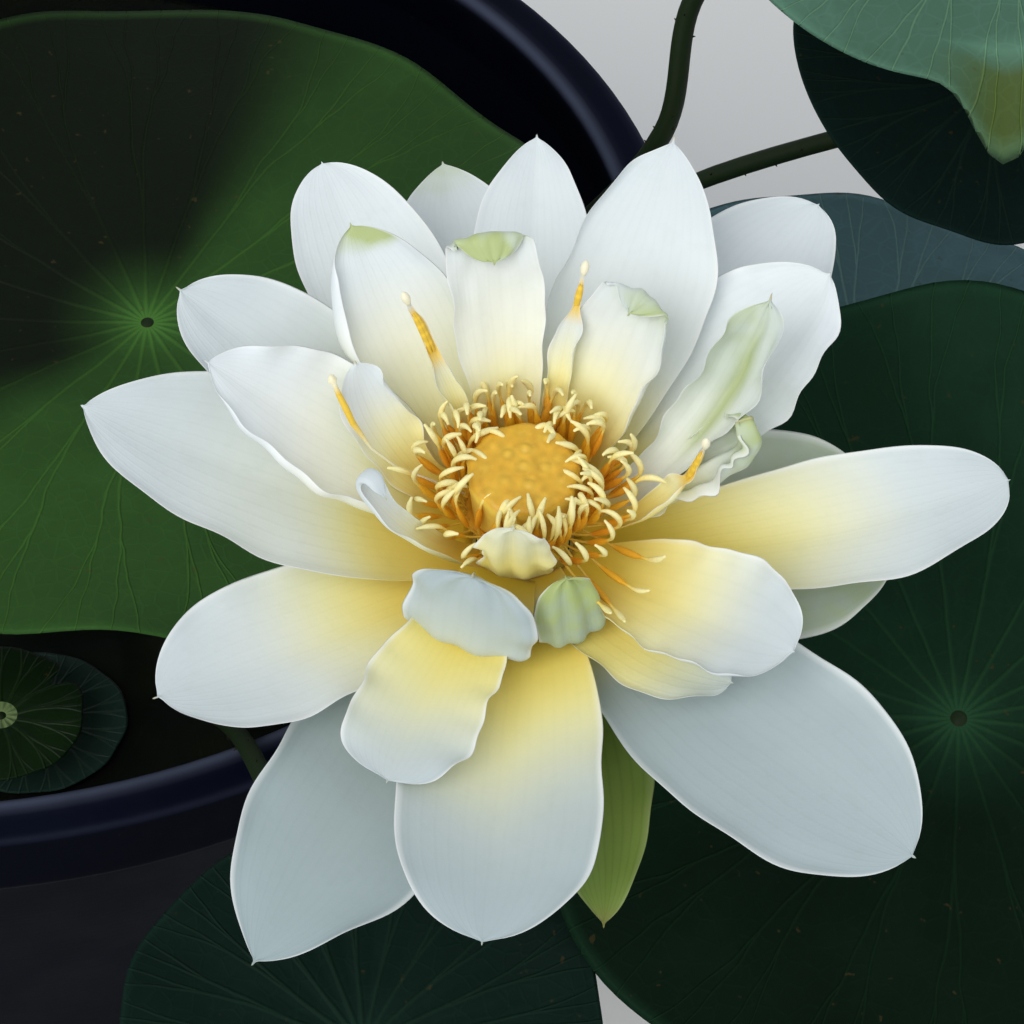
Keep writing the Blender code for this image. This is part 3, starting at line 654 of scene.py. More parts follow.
def petal_sheet(spec, shape, rows, columns):
    """Middle surface of a petal with its tip: points, share along, share across (-1 to 1)."""
    point_length = 1.6 * shape.mucro / spec.length
    share = np.linspace(0.0, 1.0, rows + 1)
    along = (1 + point_length * 0.6) * (1 - (1 - share) ** 1.5)
    fan = math.radians(80)
    across = np.sin(np.linspace(-1, 1, columns + 1) * fan) / math.sin(fan)
    place = midrib(spec, shape, along)
    heading, rise = blade_angles(spec, shape, along)

    half = spec.width / 2 * MM * outline(np.minimum(along, 1.0), spec, shape.claw)
    if shape.anther:
        half = half * (1 - 0.62 * smooth(shape.anther - 0.12, shape.anther, along))
    mucro = 0.40 * MM * np.clip((1 + point_length - along) / (2 * point_length), 0, 1) ** 0.8
    half = np.maximum(half, mucro)

    cup = np.radians(spec.cup) * (1 - (1 - TIP_CUP) * np.minimum(along, 1.0))
    middle = (across[1:] + across[:-1]) / 2
    theta = cup[:, None] * middle[None, :]
    body = smooth(0.08, 0.35, along) * smooth(1.02, 0.86, along)
    theta = theta + np.radians(shape.keel) * np.tanh(middle / 0.05)[None, :] * body[:, None]
    wander = np.array([noise.noise(Vector((a * 4.0, spec.turn * 0.37, 1.7))) for a in along])
    strength = (body * (1 + 0.5 * wander))[:, None]
    theta = theta + np.radians(shape.left) * smooth(shape.start, 1.0, middle)[None, :] * strength
    theta = theta - np.radians(shape.right) * smooth(shape.start, 1.0, -middle)[None, :] * strength
    steps = np.diff(across)[None, :] * half[:, None]
    wide = np.concatenate((np.zeros((rows + 1, 1)), np.cumsum(np.cos(theta) * steps, 1)), 1)
    lift = np.concatenate((np.zeros((rows + 1, 1)), np.cumsum(np.sin(theta) * steps, 1)), 1)
    centre = columns // 2
    wide -= wide[:, centre:centre + 1]
    lift -= lift[:, centre:centre + 1]
    for side, seed in ((1, 5.1), (-1, 9.4)):
        edge = np.array([noise.noise(Vector((a * 5.0, seed, spec.turn * 0.61))) for a in along])
        half_side = np.where(across * side > 0, 1.0, 0.0)[None, :]
        wide *= 1 + half_side * (edge * 0.035 * body)[:, None]

    ahead = direction(heading, rise)
    side = np.stack((-np.sin(heading), np.cos(heading), np.zeros_like(heading)), 1)
    up = np.cross(ahead, side)
    roll = math.radians(spec.roll)
    side, up = (side * math.cos(roll) + up * math.sin(roll),
                up * math.cos(roll) - side * math.sin(roll))
    sheet = (place[:, None, :] + side[:, None, :] * wide[:, :, None]
             + up[:, None, :] * lift[:, :, None])

    normal = sheet_normals(sheet)
    a = along[:, None]
    v = across[None, :]
    grow = smooth(0.12, 0.6, a)
    phase = spec.turn * 0.7
    ripple = (np.sin(2 * np.pi * shape.waves * a + phase + 1.3 * np.sign(v))
              + 0.5 * np.sin(2 * np.pi * shape.waves * 2.3 * a + phase * 1.7 - v))
    bumps = shape.ripple * np.abs(v) ** 3 * ripple * grow * smooth(1.03, 0.93, a)
    flat = np.stack(np.broadcast_arrays(a * spec.length * MM, v * spec.width / 2 * MM,
                                        np.full_like(a * v, spec.turn)), 2)
    creases = noise_at(flat * np.array((0.45, 1.0, 1.0)), shape.knots * 5.0, spec.turn)
    broad = noise_at(flat, 28.0, spec.turn + 5)
    bumps = bumps + shape.crumple * creases * smooth(0.3, 0.9, a) + 0.45 * broad * grow
    bumps = bumps + shape.pleats * np.cos(3 * np.pi * v + 2.0 * a) * grow
    sheet = sheet + normal * bumps[:, :, None] * MM
    return sheet, along, across


def sheet_normals(sheet):
    """Unit normal at each point of a grid of points, towards the upper side."""
    down = np.gradient(sheet, axis=0)
    across = np.gradient(sheet, axis=1)
    normal = np.cross(down, across)
    length = np.linalg.norm(normal, axis=2, keepdims=True)
    return normal / np.maximum(length, 1e-12)


def closed_blade(sheet, thickness, tip):
    """Upper and lower skins of a grid that share its border; tip closes the last row to a point.

    thickness is a grid of half thicknesses.  Returns points, faces, the grid corners of each face
    and, for each point, its row, its column and whether it is on the lower skin.
    """
    rows, columns = sheet.shape[0] - 1, sheet.shape[1] - 1
    normal = sheet_normals(sheet)
    upper = sheet + normal * thickness[:, :, None]
    lower = sheet - normal * thickness[:, :, None]
    points, where = [], []
    index = np.zeros((2, rows + 1, columns + 1), int)
    for row in range(rows + 1):
        for column in range(columns + 1):
            if row == 0 or column in (0, columns):
                index[:, row, column] = len(points)
                points.append(sheet[row, column])
                where.append((row, column, 0.5))
                continue
            for skin, table in ((0, upper), (1, lower)):
                index[skin, row, column] = len(points)
                points.append(table[row, column])
                where.append((row, column, float(skin)))
    faces, corners = [], []
    for row in range(rows):
        for column in range(columns):
            square = ((row, column), (row, column + 1), (row + 1, column + 1), (row + 1, column))
            faces.append([index[0, r, c] for r, c in square][::-1])
            corners.append(square[::-1])
            faces.append([index[1, r, c] for r, c in square])
            corners.append(square)
    end = len(points)
    points.append(tip)
    where.append((rows, columns // 2, 0.5))
    for column in range(columns):
        for skin in (0, 1):
            edge = ((rows, column), (rows, column + 1), (rows, columns // 2))
            face = [index[skin, rows, column], index[skin, rows, column + 1], end]
            faces.append(face[::-1] if skin == 0 else face)
            corners.append(edge[::-1] if skin == 0 else edge)
    return np.array(points), faces, corners, np.array(where)


def petal_paint(spec, shape, along, across, lower, points):
    """Colour at each point of a petal."""
    wobble = noise_at(points, 60, spec.turn)
    fleck = noise_at(points, 420, spec.turn + 3)
    # Painted shade: grey dulls the whole blade towards GREY; below zero it whitens it as painted light.
    colour = mix(WHITE, GREY, 0.75 * shape.grey * np.ones_like(along))
    colour = mix(colour, GREY * 1.1, 0.15 * lower)
    reach = along + 0.07 * wobble + 0.08 * np.abs(across)
    colour = mix(colour, CREAM, shape.cream * smooth(0.98, 0.45, reach))
    colour = mix(colour, PALE_YELLOW, 0.9 * smooth(shape.yellow * 1.15, shape.yellow * 0.45, reach))
    colour = mix(colour, YELLOW, smooth(shape.yellow * 0.80, shape.yellow * 0.15, reach))
    colour = mix(colour, GREY, 0.30 * smooth(0.5, 1.0, along + 0.1 * wobble))
    tip = smooth(shape.green_from, 1.0, along + 0.08 * wobble)
    streak = 0.65 + 0.35 * fleck + 0.5 * shape.green_side * across
    colour = mix(colour, FRESH_GREEN, np.clip(shape.green * tip * streak * 1.3, 0, 0.85))
    if shape.keel >= DEEP_KEEL:
        groove = np.exp(-((across + 0.05) / 0.24) ** 2) * smooth(0.36, 0.55, along)
        colour = mix(colour, FRESH_GREEN * 0.85, 0.75 * groove * smooth(0.98, 0.8, along))
    if shape.anther:
        stripe = smooth(shape.anther - 0.1, shape.anther, along) * smooth(1.0, 0.93, along)
        colour = mix(colour, POLLEN, 0.9 * stripe)
    # Painted highlight: the margins are whitened where thin edges catch the light.
    rim = smooth(0.90, 0.99, np.abs(across)) * smooth(0.15, 0.5, along)
    colour = mix(colour, PETAL_RIM_HIGHLIGHT, 0.6 * rim)
    return mix(colour, DRY_POINT, 0.7 * smooth(1.0, 1.02, along))


def sepal_paint(spec, shape, along, across, lower, points):
    """Colour at each point of a sepal."""
    colour = mix(SEPAL_DARK, SEPAL_LIGHT, 0.5 + 0.5 * noise_at(points, 90, spec.turn))
    colour = mix(colour, SEPAL_RIM, smooth(0.8, 1.0, np.abs(across)) * 0.6)
    return mix(colour, SEPAL_POINT, smooth(0.93, 1.02, along) * 0.5)


def add_anther(build, sheet, along, start):
    """Two pollen ridges along the upper side of a strap, and the pale knob at its end."""
    centre = sheet.shape[1] // 2
    normal = sheet_normals(sheet)
    rows = [row for row in range(len(along)) if start < along[row] < 0.95]
    swell = [0.55 * MM * math.sin(math.pi * (k + 0.7) / (len(rows) + 0.4)) ** 0.5
             for k in range(len(rows))]
    paint = [POLLEN_SAC * (0.9 + 0.2 * (k % 3 == 0)) for k in range(len(rows))]
    for side in (-1, 1):
        column = centre + max(1, centre // 3) * side
        path = [sheet[row, column] + normal[row, column] * 0.35 * MM for row in rows]
        build.tube(path, swell, paint, 8)
    end = Vector(sheet[-1, centre])
    ahead = (end - Vector(sheet[-6, centre])).normalized()
    knob = ((-1.2, 0.4), (-0.6, 0.6), (0.0, 0.78), (0.6, 0.74), (1.1, 0.5), (1.4, 0.2))
    path = [end + ahead * MM * step for step, radius in knob]
    build.tube(path, [radius * MM for step, radius in knob], [ANTHER_KNOB] * len(knob), 10)


def make_petal(spec, made, rows, columns, slot_name, painter=petal_paint, thickness=0.24):
    """One petal, petaloid or sepal; thickness is half its full thickness, in mm."""
    shape = SHAPES[spec.name]
    sheet, along, across = petal_sheet(spec, shape, rows, columns)
    edge = (1 - np.abs(across) ** 6)[None, :] ** 0.5
    ends = np.minimum(1.0, np.minimum(along / 0.03 + 0.3, (1.06 - along) / 0.12))[:, None]
    depth = thickness * MM * (0.35 + 0.65 * (1 - smooth(0.2, 1.0, np.abs(across)))[None, :])
    last = sheet[-1, columns // 2]
    ahead = last - sheet[-3, columns // 2]
    tip = last + ahead / np.linalg.norm(ahead) * 0.35 * MM
    points, faces, corners, where = closed_blade(sheet, depth * edge * ends, tip)
    row = where[:, 0].astype(int)
    column = where[:, 1].astype(int)
    paint = painter(spec, shape, along[row], across[column], where[:, 2], points)
    uvs = [[((across[c] + 1) / 2, along[r]) for r, c in square] for square in corners]
    build = Builder()
    build.add(points, faces, paint, uvs)
    if shape.anther:
        add_anther(build, sheet, along, shape.anther)
    return build.piece(spec.name, made, flower_place())


# ---------------------------------------------------------------- heart of the flower
# Rings of carpels on the flat top: how many, and how far out.
CARPELS = ((5, 0.0037), (9, 0.0069))
# Outline of the thin golden hem round the receptacle's foot: radius and height.
HEM = ((0.0080, 0.0010), (0.0190, 0.0024), (0.0194, 0.0026), (0.0190, 0.0028), (0.0080, 0.0016))

# Layers of stamens: how many, lean in radians, length of the filament, hook of the club in radians.
STAMEN_LAYERS = ((40, 0.14, 0.0048, 2.0), (48, 0.46, 0.0054, 2.4), (52, 0.86, 0.0060, 2.1))
# Between these angles most are missing, and between those they stand upright.
STAMEN_GAP = (205, 246)
STAMEN_UPRIGHT = (250, 296)
# Long stamens that lie out over the petals: angle and lean.
LOOSE_STAMENS = ((322, 1.5), (338, 1.35), (300, 1.45), (312, 1.7))
# The one that stands apart: distance out, angle and height of its path, and its radius, all in mm
# or degrees.
STRAY = ((9.3, 168, 15.8, 0.24), (16, 168, 18.5, 0.24), (22, 169, 21.5, 0.24), (26, 169, 26.0, 0.26),
         (29.3, 166.6, 31.0, 0.55), (30.8, 164, 32.8, 0.60), (32.4, 161.8, 34.6, 0.50),
         (33.4, 160.2, 35.6, 0.40), (34, 159.4, 36.1, 0.85), (34.4, 158.7, 36.7, 0.45))
STRAY_TINTS = ((4, (0.86, 0.84, 0.58)), (3, (0.86, 0.58, 0.06)), (3, (0.93, 0.88, 0.62)))


def make_receptacle(made):
    """The yellow cone: a flat top with a low bump over each carpel, a faintly ribbed side, a hem."""
    draws = random.Random(5)
    carpels = [(0.0, 0.0003, 1.0)]
    for ring, (count, distance) in enumerate(CARPELS):
        for k in range(count):
            turn = 2 * math.pi * (k + 0.4 * ring + draws.uniform(-0.16, 0.16)) / count
            reach = distance * draws.uniform(0.92, 1.06)
            carpels.append(around(reach, turn, draws.uniform(0.6, 1.2)))
    top = hub_radius(RECEPTACLE_TOP)
    rings = [(r, RECEPTACLE_TOP) for r in np.linspace(0.0004, top - 0.0010, 34)]
    rings += [(top - 0.0004, RECEPTACLE_TOP - 0.0003), (top, RECEPTACLE_TOP - 0.0010)]
    rings += [(hub_radius(h), h) for h in np.linspace(RECEPTACLE_TOP - 0.003, 0.0, 12)]
    rings += [(HUB_RADIUS, -0.0032), (HUB_RADIUS * 0.8, -0.0046),
              (STALK_RADIUS * 1.2, RECEPTACLE_BASE)]
    sides = 96
    points, paint = [], []
    for radius, height in rings:
        for k in range(sides):
            turn = 2 * math.pi * k / sides
            scallop = 1 + 0.022 * math.sin(9 * turn + 0.6) * smooth(0.005, 0.0095, radius)
            x, y = radius * math.cos(turn) * scallop, radius * math.sin(turn) * scallop
            lift, colour = 0.0, SIDE_GOLD
            if height > RECEPTACLE_TOP - 0.0005:
                spot = Vector((x, y, 0.0))
                lift = 0.0004 * (1 - (radius / top) ** 2) + 0.00030 * noise.noise(spot * 380)
                near, size = min((math.hypot(x - cx, y - cy), size) for cx, cy, size in carpels)
                mound = math.exp(-(near / 0.0015) ** 2) * size
                dent = math.exp(-((near - 0.0010) / 0.0004) ** 2) * size
                stigma = math.exp(-(near / 0.00042) ** 2) * size
                lift += 0.00030 * mound - 0.00012 * dent + 0.00012 * stigma
                colour = FLESH_GOLD * (1 + 0.18 * noise.noise(spot * 700))
                # Painted shade and painted light: darker in the ring of each dent and lighter on each
                # mound; the green on the mounds is their own colour.
                colour = (colour * (1 + 0.08 * mound - 0.10 * dent)
                          + np.array((0.0, 0.04, 0.01)) * mound)
            else:
                rib = math.sin(22 * turn) * 0.00010
                x += rib * math.cos(turn)
                y += rib * math.sin(turn)
            points.append((x, y, height + lift))
            paint.append(colour)
    faces = [face for ring in range(len(rings) - 1)
             for face in band(ring * sides, (ring + 1) * sides, sides)]
    faces.append(tuple(range(sides)))
    last = (len(rings) - 1) * sides
    faces.append(tuple(last + k for k in reversed(range(sides))))
    build = Builder()
    build.add(points, faces, paint)

    points = [around(r * (1 + 0.05 * math.sin(5 * turn)), turn, height) for r, height in HEM
              for turn in np.linspace(0, 2 * math.pi, sides, endpoint=False)]
    faces = [face[::-1] for ring in range(len(HEM))
             for face in band(ring * sides, (ring + 1) % len(HEM) * sides, sides)]
    build.add(points, faces, [HEM_GOLD] * len(points))
    return build.piece("receptacle", made, flower_place())


def add_stamen(build, draws, turn, lean, lengths, hook):
    """One stamen: a fine filament, an orange anther, and a cream club that hooks over."""
    outward = Vector(around(1.0, turn, 0.0))
    sideways = Vector((-outward.y, outward.x, 0.0))
    base = COLLAR_LOW + 0.0008 + draws.uniform(-0.0006, 0.0006)
    place = outward * (hub_radius(base) + 0.0007) + Vector((0, 0, base))
    skew = draws.uniform(-0.3, 0.3)
    twist = draws.uniform(-0.9, 0.9)
    rusty = draws.uniform(0.0, 0.7)
    bright = draws.uniform(0.92, 1.06)
    path, radii, colours = [], [], []
    for part, steps in enumerate((5, 6, 9)):
        for step in range(steps):
            share = (step + 0.5) / steps
            if part == 0:
                angle = lean + 0.35 * (1 - share)
                radius = 0.00024
                colour = FILAMENT
            elif part == 1:
                angle = lean - 0.25 * share
                radius = 0.00034 + 0.00034 * math.sin(math.pi * min(share * 1.1, 1.0)) ** 0.5
                colour = ANTHER_ORANGE * (1 - rusty) + ANTHER_RUST * rusty
            else:
                angle = lean - 0.25 - hook * share
                radius = 0.00021 + 0.00038 * math.sin(math.pi * share ** 1.3) ** 0.8
                colour = CLUB_BUTTER + (CLUB_CREAM - CLUB_BUTTER) * min(1.0, share * 1.6)
            ahead = outward * math.sin(angle) + Vector((0, 0, math.cos(angle)))
            ahead = (ahead + sideways * (skew + (twist * share if part == 2 else 0))).normalized()
            path.append(place.copy())
            radii.append(radius)
            colours.append(colour * bright)
            place += ahead * lengths[part] / steps
    path.append(place.copy())
    radii.append(0.00026)
    colours.append(CLUB_CREAM)
    build.tube(path, radii, colours, 7, 0.8, draws.uniform(0, 3))


def make_stamens(made):
    """Three layers of stamens on one collar, sparse to the front left, and a few that lie apart."""
    draws = random.Random(11)
    build = Builder()
    for count, lean, filament, hook in STAMEN_LAYERS:
        for k in range(count):
            turn = 2 * math.pi * (k + draws.uniform(-0.45, 0.45)) / count
            degrees = math.degrees(turn) % 360
            if STAMEN_GAP[0] < degrees < STAMEN_GAP[1] and draws.random() < 0.8:
                continue
            tilt = lean + draws.uniform(-0.16, 0.16)
            if STAMEN_UPRIGHT[0] < degrees < STAMEN_UPRIGHT[1]:
                tilt = min(tilt, 0.35)
            bend = hook * draws.uniform(0.5, 1.35)
            if draws.random() < 0.14:
                bend = -0.5 * bend
            lengths = (filament * draws.uniform(0.85, 1.2), draws.uniform(0.0048, 0.0062),
                       draws.uniform(0.0046, 0.0062))
            add_stamen(build, draws, turn, tilt, lengths, bend)
    for degrees, lean in LOOSE_STAMENS:
        add_stamen(build, draws, math.radians(degrees), lean, (0.009, 0.006, 0.005), 0.6)
    path = [Vector(around(out * MM, math.radians(turn), height * MM))
            for out, turn, height, _ in STRAY]
    tints = [np.array(tint) for count, tint in STRAY_TINTS for _ in range(count)]
    build.tube(path, [row[3] * MM for row in STRAY], tints, 8)
    inner = hub_radius(COLLAR_HIGH) + 0.0006
    collar = [Vector(around(inner, turn, (COLLAR_LOW + COLLAR_HIGH) / 2))
              for turn in np.linspace(0, 2 * math.pi, 73)]
    build.tube(collar, [0.0008] * len(collar), [COLLAR_ORANGE] * len(collar), 8)
    return build.piece("stamens", made, flower_place())


# ---------------------------------------------------------------- leaves and stalks
def leaf_matrix(spec):
    """Places a leaf made about the origin: its centre, and its tilt towards the way it faces."""
    centre = Vector(spec.centre) / 1000
    facing = math.radians(spec.facing)
    axis = Vector((-math.sin(facing), math.cos(facing), 0.0))
    return Matrix.Translation(centre) @ Matrix.Rotation(math.radians(spec.lean), 4, axis)


def leaf_height(spec, turn, out):
    """Height of a leaf's middle surface above its own plane, as a share of its radius."""
    lift = spec.dish * np.maximum(out - 0.12, 0.0) ** 1.3
    if spec.dish < 0.05:
        return lift
    lift = lift + 0.045 * out ** 3 * np.sin(spec.waves * turn + spec.radius)
    lift = lift + 0.016 * out ** 5 * np.sin(7 * turn + spec.radius * 1.7)
    lift = lift + 0.008 * out ** 6 * np.sin(13 * turn + spec.radius * 0.6)
    quilt = 0.006 * np.sin(np.pi * out) * np.abs(np.sin(10.5 * turn))
    return lift + quilt * smooth(0.1, 0.3, out)


def make_leaf(spec, made, rings=52, sectors=168, notch=None):
    """A round blade: closed upper and lower skins over rings and sectors.

    notch: the angle, in degrees, where the margin is nicked.
    """
    radius = spec.radius * MM
    flap = LEAF_FLAP.get(spec.name)
    out = np.concatenate(([0.0], np.linspace(0.02, 1.0, rings) ** 0.9))
    turn = np.linspace(0, 2 * np.pi, sectors, endpoint=False)
    o, t = np.meshgrid(out, turn, indexing="ij")
    edge = 1 + 0.012 * np.sin(5 * t + spec.radius) + 0.008 * np.sin(11 * t + spec.radius * 2.1)
    edge = edge - 0.012
    if notch is not None:
        gap = angle_from(np.radians(notch), t)
        edge = edge * (1 - 0.30 * np.exp(-(gap / 0.10) ** 2))
    reach = o * (1 + (edge - 1) * o ** 2)
    z = leaf_height(spec, t, o)
    middle = np.stack((reach * np.cos(t), reach * np.sin(t), z), 2) * radius
    wobble = noise_at(middle, 55, spec.radius) * 0.0008 * smooth(0.1, 0.5, o)
    middle[:, :, 2] += wobble
    if flap:
        flap_turn, flap_half, flap_depth = flap
        away = angle_from(np.radians(flap_turn), t)
        bump = np.exp(-(away / np.radians(flap_half)) ** 2)
        fold = np.maximum((o - 0.84) / 0.16, 0.0) * bump
        middle[:, :, 2] -= flap_depth * radius * fold ** 1.1
        middle[:, :, :2] *= (1 + 0.9 * flap_depth * fold)[:, :, None]
    half = 0.26 * MM * (1 - 0.75 * smooth(0.85, 1.0, o)) + 0.5 * MM * smooth(0.09, 0.0, o)
    dimple = 0.0009 * np.exp(-(o * radius / 0.0045) ** 2)
    place = leaf_matrix(spec)
    points, index = [], np.zeros((2, rings + 1, sectors), int)
    share = []
    for skin, sign in ((0, 1), (1, -1)):
        for ring in range(rings + 1):
            if ring == rings and skin == 1:
                index[1, ring] = index[0, ring]
                continue
            if ring == 0:
                index[skin, 0] = len(points)
                points.append((0, 0, middle[0, 0, 2] + sign * half[0, 0] - dimple[0, 0]))
                share.append((0.0, 0.0, skin))
                continue
            for k in range(sectors):
                index[skin, ring, k] = len(points)
                x, y, height = middle[ring, k]
                shift = 0.0 if ring == rings else sign * half[ring, k]
                drop = dimple[ring, k] if skin == 0 else 0.0
                points.append((x, y, height + shift - drop))
                share.append((turn[k], out[ring], skin))
    faces, uvs = [], []
    for skin in (0, 1):
        for ring in range(rings):
            for k in range(sectors):
                n = (k + 1) % sectors
                corners = [(ring, k, k), (ring + 1, k, k), (ring + 1, n, k + 1), (ring, n, k + 1)]
                if ring == 0:
                    corners = [(0, 0, k + 0.5)] + corners[1:3]
                if skin == 1:
                    corners.reverse()
                faces.append([index[skin, r, column] for r, column, _ in corners])
                uvs.append([(step / sectors, out[r]) for r, _, step in corners])
    turned, outward, lower = np.array(share).T
    world = transformed(points, place)
    base = np.array(LEAF_COLOURS[spec.name])
    broad = noise_at(world, 18, spec.radius)
    paint = base * (1 + 0.30 * broad)[:, None]
    paint = mix(paint, base * 2.2, 0.6 * smooth(0.14, 0.0, outward))
    # Painted shade: one sector of the blade is darkened as if it lay in shade.
    if spec.name in LEAF_PAINTED_SHADE:
        low, high, depth = LEAF_PAINTED_SHADE[spec.name]
        turned_degrees = np.degrees(turned) + 9 * broad
        inside = (smooth(low - 20, low + 14, turned_degrees)
                  * smooth(high + 14, high - 20, turned_degrees))
        paint = paint * (1 - depth * inside * smooth(0.0, 0.25, outward))[:, None]
    if flap:
        away = angle_from(flap_turn, np.degrees(turned), 360)
        fold = np.exp(-(away / (1.3 * flap_half)) ** 2) * smooth(0.87, 0.90, outward)
        paint = mix(paint, FLAP_OLIVE, 0.97 * fold)
        lip = np.exp(-((outward - 0.862) / 0.012) ** 2) * np.exp(-(away / (1.6 * flap_half)) ** 4)
        paint = mix(paint, base * 1.7, 0.7 * lip)
    paint = mix(paint, base * 2.2, 0.35 * smooth(0.965, 1.0, outward))
    paint = mix(paint, LEAF_UNDERSIDE, 0.75 * lower)
    build = Builder()
    build.add(world, faces, paint, uvs)
    return build.piece(spec.name, made)


def smooth_route(points, samples):
    """Points along a smooth curve (centripetal Catmull-Rom) through a few route points."""
    route = [Vector(point) for point in points]
    ends = [route[0] * 2 - route[1]] + route + [route[-1] * 2 - route[-2]]
    out = [route[0]]
    for span in range(len(route) - 1):
        p0, p1, p2, p3 = ends[span:span + 4]
        t1 = math.sqrt((p1 - p0).length)
        t2 = t1 + math.sqrt((p2 - p1).length)
        t3 = t2 + math.sqrt((p3 - p2).length)
        for step in range(1, samples + 1):
            t = t1 + (t2 - t1) * step / samples
            a1 = p0.lerp(p1, t / t1)
            a2 = p1.lerp(p2, (t - t1) / (t2 - t1))
            a3 = p2.lerp(p3, (t - t2) / (t3 - t2))
            b1 = a1.lerp(a2, t / t2)
            b2 = a2.lerp(a3, (t - t1) / (t3 - t1))
            out.append(b1.lerp(b2, (t - t1) / (t2 - t1)))
    return out


def make_stalk(name, route, radius, made, seed):
    """A stalk that swells and narrows a little, set with small prickles."""
    draws = random.Random(seed)
    build = Builder()
    radii, paint = [], []
    for point in route:
        radii.append(radius * (1 + 0.05 * noise.noise(point * 120)))
        mottle = noise.noise(point * 60 + Vector((3, 3, 3)))
        paint.append(STALK_GREEN * (1 + 0.25 * mottle))
    build.tube(route, radii, paint, 16)
    for i in range(2, len(route) - 2):
        if route[i].z < WATER_TOP + 0.004 or draws.random() < 0.35:
            continue
        ahead = (route[i + 1] - route[i - 1]).normalized()
        out = Matrix.Rotation(draws.uniform(0, 6.28), 3, ahead) @ ahead.orthogonal().normalized()
        foot = route[i] + out * radius * 0.9
        size = draws.uniform(0.0006, 0.0011)
        tip = foot + out * size + ahead * size * 0.3
        build.tube([foot, foot.lerp(tip, 0.5), tip], [0.00035, 0.0002, 0.00005],
                   [STALK_GREEN * 0.9, PRICKLE_BROWN, PRICKLE_BROWN], 6)
    return build.piece(name, made)


def stalk_foot(root):
    """Where a stalk starts in the mud and, straight above that, leaves the water."""
    foot = Vector((root[0] * MM, root[1] * MM, SOIL_TOP - 0.004))
    return foot, Vector((foot.x, foot.y, WATER_TOP + 0.001))


def leaf_route(spec):
    place = leaf_matrix(spec)
    foot, surface = stalk_foot(spec.root)
    under = LEAF_THICKNESS / 2 + GAP
    top = place @ Vector((0.0, 0.0, -under + 0.0002))
    neck = place @ Vector((0.0, 0.0, -under - 2.5 * spec.stalk * MM))
    if top.z < WATER_TOP + 0.002:
        return [foot.lerp(top, k / 8) for k in range(9)]
    vias = [Vector(spec.via[i:i + 3]) * MM for i in range(0, len(spec.via), 3)]
    return [foot, foot.lerp(surface, 0.5)] + smooth_route([surface, *vias, neck, top], 14)


def flower_route():
    foot, surface = stalk_foot(FLOWER_ROOT)
    axis = Vector((0.0, -math.sin(FLOWER_TILT), math.cos(FLOWER_TILT)))
    top = HUB + axis * (RECEPTACLE_BASE + 0.0004)
    neck = HUB + axis * (RECEPTACLE_BASE - 0.014)
    return [foot, foot.lerp(surface, 0.5)] + smooth_route(
        [surface, Vector(FLOWER_VIA) * MM, neck, top], 16)


# ---------------------------------------------------------------- bowl, mud and water
def inner_radius(height):
    """Radius of the bowl's inner face at a height."""
    low, high = BOWL_WALL, BOWL_HEIGHT - RIM_BAND
    narrow, wide = FOOT_RADIUS - BOWL_WALL, RIM_RADIUS - RIM_STEP - BOWL_WALL
    return narrow + (wide - narrow) * (height - low) / (high - low)


def rounded(profile, radius=0.0012, steps=4):
    """A profile with each inner corner rounded off."""
    points = [Vector(p) for p in profile]
    out = [points[0]]
    for before, corner, after in zip(points, points[1:], points[2:]):
        back = min(radius, (corner - before).length / 2.2)
        front = min(radius, (after - corner).length / 2.2)
        start = corner + (before - corner).normalized() * back
        end = corner + (after - corner).normalized() * front
        for k in range(steps + 1):
            share = k / steps
            out.append(start.lerp(corner, share).lerp(corner.lerp(end, share), share))
    out.append(points[-1])
    return [(p.x, p.y) for p in out]


def divided(profile, longest):
    """A profile with its long stretches cut up."""
    out = [profile[0]]
    for (r0, z0), (r1, z1) in zip(profile, profile[1:]):
        parts = max(1, math.ceil(math.hypot(r1 - r0, z1 - z0) / longest))
        out += [(r0 + (r1 - r0) * k / parts, z0 + (z1 - z0) * k / parts)
                for k in range(1, parts + 1)]
    return out


def lathe(name, profile, sides, made, painter, mover):
    """A closed turned piece; the profile runs from the axis at the top back to the axis below."""
    points, faces = [(0.0, 0.0, profile[0][1])], []
    rings = profile[1:-1]
    for radius, height in rings:
        points += [mover(radius, 2 * math.pi * k / sides, height) for k in range(sides)]
    points.append((0.0, 0.0, profile[-1][1]))
    for k in range(sides):
        n = (k + 1) % sides
        faces.append((0, 1 + k, 1 + n))
        for ring in range(len(rings) - 1):
            a, b = 1 + ring * sides, 1 + (ring + 1) * sides
            faces.append((a + k, b + k, b + n, a + n))
        last = 1 + (len(rings) - 1) * sides
        faces.append((last + k, len(points) - 1, last + n))
    build = Builder()
    build.add(points, faces, [painter(Vector(p)) for p in points])
    return build.piece(name, made)


